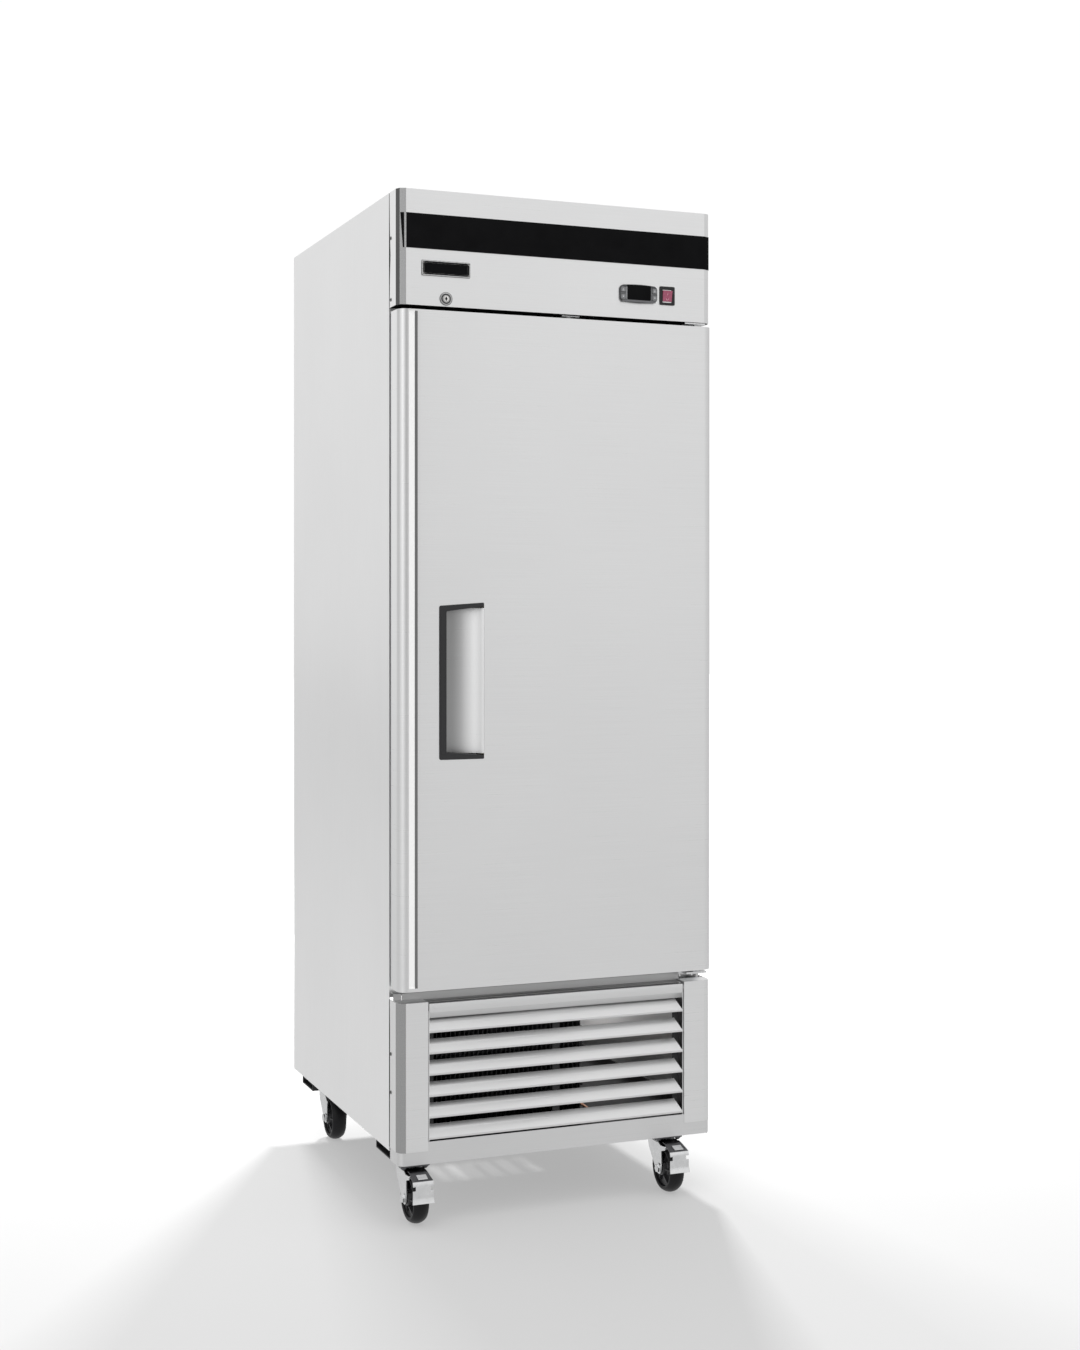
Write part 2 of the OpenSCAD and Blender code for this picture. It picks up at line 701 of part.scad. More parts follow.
// the brake pedal: a bent plate in front of the wheel, rocking on a cross pin
module pedal_at(c) {
  color(zinc) translate([c[0], c[1], 0]) difference() {
    union() {
      translate([-21, 0, 0]) rotate([90, 0, 90]) linear_extrude(42)
        polygon([[-49.5, lift - 30.5], [-60, lift - 28.4], [-86.5, lift - 27.8], [-89.6, lift - 30.5],
          [-89.6, wr + 10], [-93, wr + 1.5], [-90.8, wr + 1], [-87.4, wr + 10], [-87.4, lift - 31.4],
          [-85.6, lift - 30], [-60, lift - 30.6], [-49.5, lift - 32.7]]);
      span([-12, -85, lift - 28.5], [12, -73, lift - 27]);
      translate([0, pin_y, pin_z]) xcyl(2.5, 46);
      for (s = [-1, 1]) translate([s * 16, 0, 0]) rotate([90, 0, 90])
        linear_extrude(2, center = true) {
          translate([pin_y, pin_z]) circle(3.8);
          translate([pin_y - 3.8, pin_z]) square([7.6, 6.9]);
        }
    }
    for (s = [-1, 1]) translate([s * 19.5, 0, 0]) span([-3, -95, lift - 50], [3, -86, lift - 39]);
  }
}
module pedal_fl() { pedal_at(cast[0]); }
module pedal_fr() { pedal_at(cast[1]); }

module screws() {
  color(zinc) {
    for (s = [-1, 1], z = [ztop - 92, zhead + 15, zpil0 + 187, zpil0 + 111])
      translate([s * cw, yf + 48, z]) rotate([0, s * 90, 0]) cylinder(r1 = 4, r2 = 3, h = 1.6);
    for (s = [-1, 1], z = [gz1 - 9])
      translate([s * (gw - 14), yf + 2.6, z]) rotate([90, 0, 0]) cylinder(r1 = 4.2, r2 = 3, h = 1.6);
  }
}

module door_skin() {
  h = zdoor1 - zdoor0;
  color(steel) difference() {
    union() {
      translate([0, ydf, zdoor0]) linear_extrude(h) wrap(2 * cw, door_radius, ydb - ydf, 1.2);
      for (z = [zdoor0, zdoor1 - 1.2]) translate([0, ydf + 0.6, z]) linear_extrude(1.2)
        front_shape(2 * cw - 1.2, door_radius - 0.6, ydb - ydf - 0.6);
    }
    span([hxl, ydf - 1, hz - handle_height / 2], [hxr, ydf + 5, hz + handle_height / 2]);
    translate([hx, hy, zdoor0 - 1]) cylinder(r = 9, h = 4);
    translate([hx, hy, zdoor1 - 2]) cylinder(r = 11.6, h = 4);
  }
}

module door_liner() {
  color([0.86, 0.87, 0.88]) {
    span([-cw + 1.2, ydb - 1.5, zdoor0 + 1.2], [cw - 1.2, ydb, zdoor1 - 1.2]);
    difference() {
      span([-ox + 20, ydb - 0.1, oz0 + 18], [ox - 20, ydb + 26, oz1 - 18]);
      span([-ox + 21.5, ydb - 1, oz0 + 19.5], [ox - 21.5, ydb + 24.5, oz1 - 19.5]);
    }
  }
}

module door_foam() {
  color(foam) difference() {
    translate([0, ydf + 1.2, zdoor0 + 1.2]) linear_extrude(zdoor1 - zdoor0 - 2.4)
      front_shape(2 * cw - 2.4, door_radius - 1.2, ydb - ydf - 2.7);
    span([hxl - 0.5, ydf, hz - handle_height / 2 - 0.5], [hxr + 2, ydf + 44, hz + handle_height / 2 + 0.5]);
    for (z = [zdoor0, zdoor1 - 22]) translate([hx, hy, z]) cylinder(r = 9, h = 22);
    translate([hx, hy, zdoor1 - 2.1]) cylinder(r = 11.6, h = 4);
  }
}

module door_gasket() {
  color([0.25, 0.25, 0.26]) {
    difference() {
      span([-hx + 2, ydb, zdoor0 + 26], [hx - 2, yr - 0.3, zdoor1 - 26]);
      span([-hx + 28, ydb - 1, zdoor0 + 52], [hx - 28, yr, zdoor1 - 52]);
      difference() {
        span([-hx + 5, ydb + 3, zdoor0 + 29], [hx - 5, ydb + 9, zdoor1 - 29]);
        span([-hx + 23, ydb, zdoor0 + 47], [hx - 23, yr, zdoor1 - 47]);
      }
    }
  }
}

module handle_frame() {
  h = handle_height;
  color(dark) translate([hxl, ydf, hz]) {
    difference() {
      span([-1.5, -1.6, -h / 2 - 1.5], [93, -0.02, h / 2 + 1.5]);
      span([14, -3, -h / 2 + 9], [95, 1, h / 2 - 9]);
    }
    difference() {
      span([0.2, -0.1, -h / 2 + 0.2], [92.8, 40, h / 2 - 0.2]);
      span([14, -1, -h / 2 + 9], [94, 37, h / 2 - 9]);
      span([2.2, 10, -h / 2 + 9], [14.1, 37, h / 2 - 9]);
    }
  }
}

module handle_scoop() {
  h = handle_height - 18.4;
  color(steel) translate([hxl, ydf, hz - h / 2]) linear_extrude(h) {
    intersection() {
      difference() {
        translate([20, -59.1]) circle(95.7, $fn = 256);
        translate([20, -59.1]) circle(94.1, $fn = 256);
      }
      translate([20, 0]) square([72.2, 40]);
    }
    translate([2.4, 35]) square([17.7, 1.6]);
    translate([2.4, 11]) square([1.6, 25.6]);
    translate([91, -0.8]) square([1.8, 3.6]);
  }
}

module hinge_bushes() {
  color(dark) for (z = [zdoor0, zdoor1 - 20]) translate([hx, hy, z]) difference() {
    union() {
      cylinder(r = 8.95, h = 20);
      translate([0, 0, z == zdoor0 ? -1.6 : 18]) cylinder(r = 11.5, h = z == zdoor0 ? 1.6 : 3.5);
    }
    translate([0, 0, -5]) cylinder(r = 6.05, h = 40);
  }
}

outer_wrap();
back_panel();
inner_liner();
cabinet_foam();
front_frame();
header_panel();
fascia_band();
badge();
lock_body();
lock_plug();
controller_bezel();
controller_window();
button_left_upper();
button_left_lower();
button_right_upper();
button_right_lower();
rocker_housing();
rocker();
top_hinge();
bottom_hinge();
switch_body();
switch_plunger();
base_frame();
base_rails();
pillars();
louvre_grille();
compressor();
condenser_coil();
condenser_shroud();
condenser_fan();
refrigerant_tubes();
condensate_pan();
evaporator_cover();
evaporator_coil();
evaporator_fan();
terminal_box();
led_light();
pilasters();
shelf_lower();
shelf_middle();
shelf_upper();
caster_plates();
screws();
door_skin();
door_liner();
door_foam();
door_gasket();
handle_frame();
handle_scoop();
hinge_bushes();
fork_fl();
fork_fr();
fork_rl();
fork_rr();
wheel_fl();
wheel_fr();
wheel_rl();
wheel_rr();
pedal_fl();
pedal_fr();
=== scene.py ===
import math

import bmesh
import bpy
from mathutils import Matrix, Vector


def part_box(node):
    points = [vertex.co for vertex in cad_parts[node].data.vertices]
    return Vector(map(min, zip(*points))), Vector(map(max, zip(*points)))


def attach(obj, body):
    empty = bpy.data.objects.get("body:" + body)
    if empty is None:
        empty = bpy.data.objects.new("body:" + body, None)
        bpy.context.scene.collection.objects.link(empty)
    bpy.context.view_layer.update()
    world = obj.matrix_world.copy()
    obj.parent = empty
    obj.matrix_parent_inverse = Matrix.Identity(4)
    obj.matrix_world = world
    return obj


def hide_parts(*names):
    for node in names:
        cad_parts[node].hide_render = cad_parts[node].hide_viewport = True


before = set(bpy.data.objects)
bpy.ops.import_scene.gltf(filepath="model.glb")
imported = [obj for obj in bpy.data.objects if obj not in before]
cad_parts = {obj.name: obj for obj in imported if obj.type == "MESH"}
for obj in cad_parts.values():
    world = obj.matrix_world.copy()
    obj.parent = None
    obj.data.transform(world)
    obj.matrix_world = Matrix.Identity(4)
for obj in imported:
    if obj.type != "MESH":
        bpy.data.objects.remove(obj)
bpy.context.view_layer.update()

SCENE = bpy.context.scene
MM = 0.001
FORWARD = (0, -1, 0)
ACROSS = (1, 0, 0)
UP = (0, 0, 1)

# ---------------------------------------------------------------- shader nodes


class Tree:
    """The nodes of a material or world, with short ways to add and join them."""

    def __init__(self, owner):
        owner.use_nodes = True
        self.nodes, self.links = owner.node_tree.nodes, owner.node_tree.links

    def feed(self, socket, value):
        """Joins an output to a socket, or gives the socket a constant."""
        if isinstance(value, bpy.types.NodeSocket):
            self.links.new(value, socket)
        else:
            socket.default_value = value

    def add(self, kind, inputs=None, operation=None):
        node = self.nodes.new("ShaderNode" + kind)
        if operation:
            node.operation = operation
        for socket, value in (inputs or {}).items():
            self.feed(node.inputs[socket], value)
        return node

    def span(self, value, start, end, low, high, smooth=False):
        """Carries a value from start..end to low..high."""
        node = self.add("MapRange", {"Value": value, "From Min": start, "From Max": end,
                                     "To Min": low, "To Max": high})
        if smooth:
            node.interpolation_type = "SMOOTHSTEP"
        return node.outputs["Result"]

    def ramp(self, value, stops, easing="LINEAR"):
        """Colours by position; a new ramp already has its first two stops."""
        node = self.add("ValToRGB", {"Fac": value})
        node.color_ramp.interpolation = easing
        elements = node.color_ramp.elements
        for i, (place, colour) in enumerate(stops):
            stop = elements[i] if i < 2 else elements.new(place)
            stop.position = place
            stop.color = (*colour, 1)
        return node.outputs["Color"]

    def times(self, first, second):
        """The product of two colours."""
        mix = self.nodes.new("ShaderNodeMix")
        mix.data_type = "RGBA"
        mix.blend_type = "MULTIPLY"
        for socket, value in (("Factor", 1.0), ("A", first), ("B", second)):
            self.feed(mix.inputs[socket], value)
        return mix.outputs["Result"]

    def by_ray(self, bounced, seen):
        """One shader for reflected rays and another for what the camera sees."""
        rays = self.add("LightPath")
        return self.add("MixShader", {"Fac": rays.outputs["Is Camera Ray"], 1: bounced, 2: seen}).outputs[0]


# ---------------------------------------------------------------- camera, light and floor

WHITE = (1, 1, 1, 1)
WALL_MAX = 1.6
FLOOR_LIFT = 0.40
FLOOR_GLOW = 0.70
FLOOR_SIZE = 30

# brightness of the studio walls by azimuth: 0 is in front of the door, + to the object's right, in degrees
STUDIO = ((-180, 0.90), (-150, 0.95), (-128, 0.62), (-100, 0.66), (-74, 1.05), (-54, 1.38), (-40, 1.02),
          (-18, 0.50), (-2, 0.42), (10, 0.76), (20, 0.93), (31, 0.93), (45, 0.80), (80, 0.74), (125, 0.60),
          (160, 0.85), (180, 0.90))

# the two lamps that throw the shadow forward light the floor only: name, place, goal, size, power
BACK_LIGHTS = (("back_light", (0.06, 4.0, 3.3), (0, -0.6, 0.2), (0.7, 0.4), 225),
               ("corner_light", (1.72, 3.85, 3.3), (-0.2, -0.4, 0.2), (0.6, 0.4), 430))


def make_camera():
    data = bpy.data.cameras.new("camera")
    camera = bpy.data.objects.new("camera", data)
    SCENE.collection.objects.link(camera)
    data.sensor_width = 36.0
    data.lens = 50.96
    data.shift_y = -0.0453
    camera.location = (-1.483, -3.962, 1.203)
    camera.rotation_euler = (math.radians(90), 0, math.radians(-21.91))
    SCENE.camera = camera


def make_area(name, location, target, size, energy):
    data = bpy.data.lights.new(name, "AREA")
    data.shape = "RECTANGLE"
    data.size, data.size_y = size
    data.energy = energy
    light = bpy.data.objects.new(name, data)
    SCENE.collection.objects.link(light)
    light.location = location
    light.rotation_euler = (Vector(target) - light.location).to_track_quat("-Z", "Y").to_euler()
    return light


def make_world():
    """A white room: plain white to the camera, softly uneven walls for the reflections."""
    world = bpy.data.worlds.new("studio")
    SCENE.world = world
    tree = Tree(world)
    tree.nodes.clear()
    way = tree.add("SeparateXYZ", {0: tree.add("TexCoord").outputs["Generated"]}).outputs
    ahead = tree.add("Math", {0: way["Y"], 1: -1}, "MULTIPLY").outputs[0]
    azimuth = tree.add("Math", {0: way["X"], 1: ahead}, "ARCTAN2").outputs[0]
    stops = [((degrees + 180) / 360, [value / WALL_MAX] * 3) for degrees, value in STUDIO]
    walls = tree.ramp(tree.span(azimuth, -math.pi, math.pi, 0, 1), stops, "EASE")
    height = tree.span(way["Z"], -0.35, 0.35, 0.86, 1.03, smooth=True)
    strength = tree.add("Math", {0: height, 1: WALL_MAX}, "MULTIPLY").outputs[0]
    room = tree.add("Background", {"Color": walls, "Strength": strength}).outputs[0]
    white = tree.add("Background", {"Color": WHITE, "Strength": 1.02}).outputs[0]
    tree.add("OutputWorld", {"Surface": tree.by_ray(room, white)})


def make_floor():
    """A pale sealed floor that fades into the white room; reflections meet an even glow."""
    mat = bpy.data.materials.new("pale_floor")
    tree = Tree(mat)
    shader = tree.nodes["Principled BSDF"]
    mottle = tree.add("TexNoise", {"Scale": 0.8}).outputs["Fac"]
    place = tree.add("TexCoord").outputs["Object"]
    distance = tree.add("VectorMath", {0: place}, "LENGTH").outputs["Value"]
    for socket, value in (("Base Color", tree.ramp(mottle, [(0, [0.27] * 3), (1, [0.29] * 3)])),
                          ("Roughness", 0.6), ("Specular IOR Level", 0.0), ("Emission Color", WHITE),
                          ("Emission Strength", tree.span(distance, 1.5, 3.2, FLOOR_LIFT, 1.1, smooth=True))):
        tree.feed(shader.inputs[socket], value)
    glow = tree.add("Emission", {"Color": WHITE, "Strength": FLOOR_GLOW}).outputs[0]
    tree.feed(tree.nodes["Material Output"].inputs["Surface"], tree.by_ray(glow, shader.outputs[0]))
    bm = bmesh.new()
    bmesh.ops.create_grid(bm, x_segments=8, y_segments=8, size=FLOOR_SIZE)
    mesh = bpy.data.meshes.new("floor")
    bm.to_mesh(mesh)
    bm.free()
    floor = bpy.data.objects.new("floor", mesh)
    mesh.materials.append(mat)
    SCENE.collection.objects.link(floor)
    return floor


make_camera()
make_world()
SHADOW_CATCH = bpy.data.collections.new("shadow_catch")
SHADOW_CATCH.objects.link(make_floor())
make_area("overhead", (0.2, -0.4, 5.2), (0, 0, 0), (5.0, 5.0), 60)
for lamp in BACK_LIGHTS:
    make_area(*lamp).light_linking.receiver_collection = SHADOW_CATCH
SCENE.view_settings.view_transform = "Standard"

# ---------------------------------------------------------------- materials


def material(name, colour, rough, metallic=0.0, spread=0.06, stretch=60, bump=0.0, depth=0.1,
             rough_spread=0.05, cells=False, blotch=0.03, detail=5.0, anisotropic=0.0, turn=0.0, **sockets):
    """A surface whose colour, roughness and bump follow a stretched pattern and broad, faint blotches."""
    mat = bpy.data.materials.new(name)
    tree = Tree(mat)
    shader = tree.nodes["Principled BSDF"]
    place = tree.add("TexCoord").outputs["Object"]
    scale = stretch if isinstance(stretch, tuple) else (stretch, stretch, stretch)
    grain = {"Vector": tree.add("Mapping", {"Vector": place, "Scale": scale}).outputs["Vector"], "Scale": 1.0}
    if cells:
        pattern = tree.add("TexVoronoi", grain).outputs["Distance"]
    else:
        pattern = tree.add("TexNoise", {**grain, "Detail": detail}).outputs["Fac"]
    broad = tree.add("TexNoise", {"Vector": place, "Scale": 2.6, "Detail": 3.0}).outputs["Fac"]
    tint = tree.ramp(pattern, [(0.25, [c * (1 - spread) for c in colour]),
                               (0.75, [min(1.0, c * (1 + spread)) for c in colour])])
    shade = tree.span(broad, 0.3, 0.7, 1 - blotch, 1.0)
    gloss = tree.span(pattern, 0.25, 0.75, max(0.02, rough - rough_spread), rough + rough_spread)
    inputs = {"Metallic": metallic, "Base Color": tree.times(tint, shade), "Roughness": gloss}
    inputs.update({socket.replace("_", " "): value for socket, value in sockets.items()})
    if bump:
        relief = tree.add("Bump", {"Strength": bump, "Distance": depth * MM, "Height": pattern})
        inputs["Normal"] = relief.outputs["Normal"]
    if anisotropic:
        tangent = tree.add("Tangent")
        tangent.direction_type = "RADIAL"
        tangent.axis = "Z"
        inputs.update({"Anisotropic": anisotropic, "Anisotropic Rotation": turn,
                       "Tangent": tangent.outputs["Tangent"]})
    for socket, value in inputs.items():
        tree.feed(shader.inputs[socket], value)
    return mat


def steel(name, level, rough=0.30, grain=(5, 5, 900), **more):
    """Brushed stainless steel; the grain runs where its scale is small."""
    colour = (level, level * 1.002, level * 1.004)
    options = dict(metallic=1.0, spread=0.022, stretch=grain, bump=0.025, depth=0.04, rough_spread=0.03,
                   blotch=0.025, detail=3.0, anisotropic=0.75, turn=0.25)
    options.update(more)
    return material(name, colour, rough, **options)


def corner_shade_steel(name, level, rough):
    """Plain steel with its level lowered, so that its colour paints shade on rounded corners and screw heads.
    """
    return steel(name, level, rough, bump=0.0, rough_spread=0.01, anisotropic=0.0)


def shade_across(mat, axis, start, end, low, high):
    """Multiplies a material's colour by a ramp along one object axis, from start to end in millimetres."""
    tree = Tree(mat)
    colour = tree.nodes["Principled BSDF"].inputs["Base Color"]
    source = colour.links[0].from_socket
    split = tree.add("SeparateXYZ", {0: tree.add("TexCoord").outputs["Object"]})
    ramp = tree.span(split.outputs[axis], start * MM, end * MM, low, high, smooth=True)
    tree.feed(colour, tree.times(source, ramp))


FRONT_STEEL = steel("stainless_front", 0.80)
SIDE_STEEL = steel("stainless_side", 0.98, 0.34, (900, 700, 6), turn=0.0, anisotropic=0.5)
RAIL_STEEL = steel("stainless_rail", 0.72)
GRILLE_STEEL = steel("stainless_grille", 0.74, 0.34)
# steel darkened as painted shade on the rounded corners; the darkest also paints the side screw heads
DARK_SHADE_STEEL = corner_shade_steel("stainless_dark_shade", 0.15, 0.24)
CORNER_HALF_SHADE = corner_shade_steel("stainless_corner", 0.50, 0.26)
PILLAR_CORNER_SHADE = corner_shade_steel("stainless_pillar_corner_shade", 0.40, 0.26)
# the groove at the door's left edge: steel darkened as painted shade
GROOVE_SHADE_STEEL = steel("groove_painted_shade", 0.24)
# the deck and ledges under the door: steel darkened as painted shade
DECK_SHADE_STEEL = steel("deck_steel_shaded", 0.30, 0.35)
LEDGE_SHADE_STEEL = steel("ledge_steel_shaded", 0.48, 0.35)
HANDLE_STEEL = steel("handle_steel", 0.78)

# name, colour, roughness, metallic, spread of the colour, scale of the pattern, bump and its depth; the
# first, on the strip at the door's left edge, is a painted highlight, near-white with a faint glow
PAINTED_HIGHLIGHT = material("painted_highlight_strip", (0.96, 0.96, 0.955), 0.20, 0, 0.01, (3, 3, 400),
                       Emission_Color=WHITE, Emission_Strength=0.14)
LINER = material("liner_aluminium", (0.80, 0.81, 0.82), 0.38, 0.9, 0.04, 160, 0.25, 0.25, cells=True)
GALVANISED = material("galvanised", (0.58, 0.60, 0.62), 0.44, 0.9, 0.07, 90, 0.05, cells=True)
ZINC = material("zinc_plate", (0.74, 0.745, 0.75), 0.24, 1.0, 0.07, 90, 0.05)
# zinc painted dark as shadow, for the caster plates, the fork lips and the upper pedal hoods
ZINC_SHADOW_PAINT = material("zinc_shadowed", (0.11, 0.11, 0.115), 0.30, 1.0, 0.1, 90, 0.05)
SILVER = material("satin_silver", (0.50, 0.50, 0.50), 0.28, 1.0, 0.05, 300)
# black painted as the shade in the gap under the header, in the side seams and in the screw slots
SHADE_BLACK = material("painted_shade_black", (0.008, 0.008, 0.008), 0.9, 0, 0.3, 200, 0.2, Specular_IOR_Level=0.0)
CHROME = material("chrome", (0.80, 0.79, 0.77), 0.12, 1.0, 0.04, 200, rough_spread=0.03)
GLOSS_BLACK = material("gloss_black", (0.006, 0.006, 0.0065), 0.12, 0, 0.2, 30, rough_spread=0.03,
                       Specular_IOR_Level=0.03)
SATIN_BLACK = material("satin_black", (0.018, 0.018, 0.019), 0.42, 0, 0.12, 900, 0.12, 0.08,
                       Specular_IOR_Level=0.35)
POWDER_BLACK = material("powder_black", (0.020, 0.020, 0.021), 0.5, 0, 0.15, 420, 0.35, 0.15,
                        Specular_IOR_Level=0.35)
ENAMEL_BLACK = material("enamel_black", (0.016, 0.016, 0.017), 0.22, 0, 0.15, 240, 0.12, Coat_Weight=0.4)
HANDLE_BLACK = material("handle_black", (0.030, 0.030, 0.032), 0.46, 0, 0.15, 1300, 0.25, 0.06,
                        Specular_IOR_Level=0.3)
BEZEL_DARK = material("bezel_dark", (0.055, 0.057, 0.060), 0.48, 0, 0.1, 1100, 0.2, 0.05)
BEZEL_GREY = material("bezel_grey", (0.15, 0.152, 0.158), 0.5, 0, 0.1, 1100, 0.2, 0.05)
BUTTON_GREY = material("button_grey", (0.21, 0.213, 0.22), 0.45, 0, 0.08, 900, 0.15, 0.05)
MARK_WHITE = material("mark_white", (0.62, 0.63, 0.64), 0.5, 0, 0.05, 800)
ROCKER_RED = material("rocker_red", (0.33, 0.065, 0.125), 0.22, 0, 0.22, 260, Coat_Weight=0.6,
                      Emission_Color=(0.7, 0.12, 0.24, 1), Emission_Strength=0.06)
ROCKER_MARK = material("rocker_mark", (0.80, 0.42, 0.50), 0.35, 0, 0.1, 300)
RUBBER = material("wheel_rubber", (0.011, 0.011, 0.012), 0.42, 0, 0.25, 500, 0.3, Specular_IOR_Level=0.16)
HUB_BLACK = material("wheel_core", (0.022, 0.022, 0.024), 0.35, 0, 0.15, 300, 0.15)
GASKET = material("gasket_rubber", (0.055, 0.056, 0.058), 0.55, 0, 0.12, 350, 0.2)
FRAME_PLASTIC = material("breaker_plastic", (0.74, 0.75, 0.76), 0.42, 0, 0.04, 700, 0.15, 0.05)
COVER_WHITE = material("coated_white", (0.84, 0.84, 0.82), 0.38, 0, 0.04, 380, 0.25)
WIRE = material("coated_wire", (0.80, 0.81, 0.82), 0.30, 0.35, 0.06, 260, 0.15, 0.08, Coat_Weight=0.3)
FIN = material("fin_aluminium", (0.72, 0.73, 0.75), 0.35, 1.0, 0.12, (40, 300, 300), 0.2, 0.2)
FIN_BLACK = material("fin_black", (0.05, 0.05, 0.052), 0.45, 0.4, 0.25, (60, 300, 300), 0.3, 0.2)
COPPER = material("drawn_copper", (0.72, 0.38, 0.24), 0.28, 1.0, 0.14, 50, 0.1, rough_spread=0.1)
FOAM = material("pu_foam", (0.80, 0.72, 0.46), 0.9, 0, 0.18, 380, 0.6, 0.4, cells=True)
LENS = material("opal_lens", (0.90, 0.92, 0.94), 0.3, 0, 0.03, 300, Emission_Color=(1, 1, 0.98, 1),
                Emission_Strength=1.6)
NYLON = material("nylon_black", (0.02, 0.02, 0.021), 0.38, 0, 0.15, 500, 0.15, 0.05)
# painted shade darkens the cup toward its deep side, and a painted reflection of the floor makes the side
# panel paler toward the floor
shade_across(HANDLE_STEEL, "X", -250, -176, 0.30, 1.0)
shade_across(SIDE_STEEL, "Z", 250, 1200, 1.0, 0.87)

# ---------------------------------------------------------------- mesh tools, in millimetres


def box_of(node):
    """Lowest and highest corner of a CAD node, in millimetres."""
    low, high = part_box(node)
    return low / MM, high / MM


def fillet(points, radius, closed=False, steps=5):
    """Rounds the corners of a flat path. radius is one number, or one for each point."""
    count = len(points)
    radii = radius if isinstance(radius, (list, tuple)) else [radius] * count
    path = []
    for i, point in enumerate(points):
        here = Vector(point)
        if (not closed and i in (0, count - 1)) or radii[i] <= 0:
            path.append(here)
            continue
        before, after = Vector(points[i - 1]) - here, Vector(points[(i + 1) % count]) - here
        half = before.angle(after) / 2
        reach = min(radii[i] / math.tan(half), 0.49 * before.length, 0.49 * after.length)
        size = reach * math.tan(half)
        centre = here + (before.normalized() + after.normalized()).normalized() * size / math.sin(half)
        first, last = here + before.normalized() * reach - centre, here + after.normalized() * reach - centre
        sweep = math.pi - 2 * half
        side = 1 if first.x * last.y - first.y * last.x > 0 else -1
        for k in range(steps + 1):
            turn = Matrix.Rotation(side * sweep * k / steps, 2)
            path.append(centre + turn @ first)
    return path


def inset(points, distance, closed=True):
    """The path moved to its right by distance, with mitred corners."""
    count, moved = len(points), []
    for i in range(count):
        here = Vector(points[i])
        ways = []
        if closed or i > 0:
            ways.append((here - Vector(points[i - 1])).normalized())
        if closed or i < count - 1:
            ways.append((Vector(points[(i + 1) % count]) - here).normalized())
        normals = [Vector((w.y, -w.x)) for w in ways]
        normal = sum(normals, Vector((0, 0))).normalized()
        moved.append(here + normal * distance / max(0.3, normal.dot(normals[0])))
    return moved


def rectangle(u0, v0, u1, v1, radius=0.0):
    """A rounded rectangle, clockwise, so that inset() makes it smaller."""
    return fillet([(u0, v0), (u0, v1), (u1, v1), (u1, v0)], radius, closed=True)


def in_plane(axis, u, v, w):
    """A point from its two flat coordinates and its place along the axis."""
    return Vector({"x": (w, u, v), "y": (u, w, v), "z": (u, v, w)}[axis])


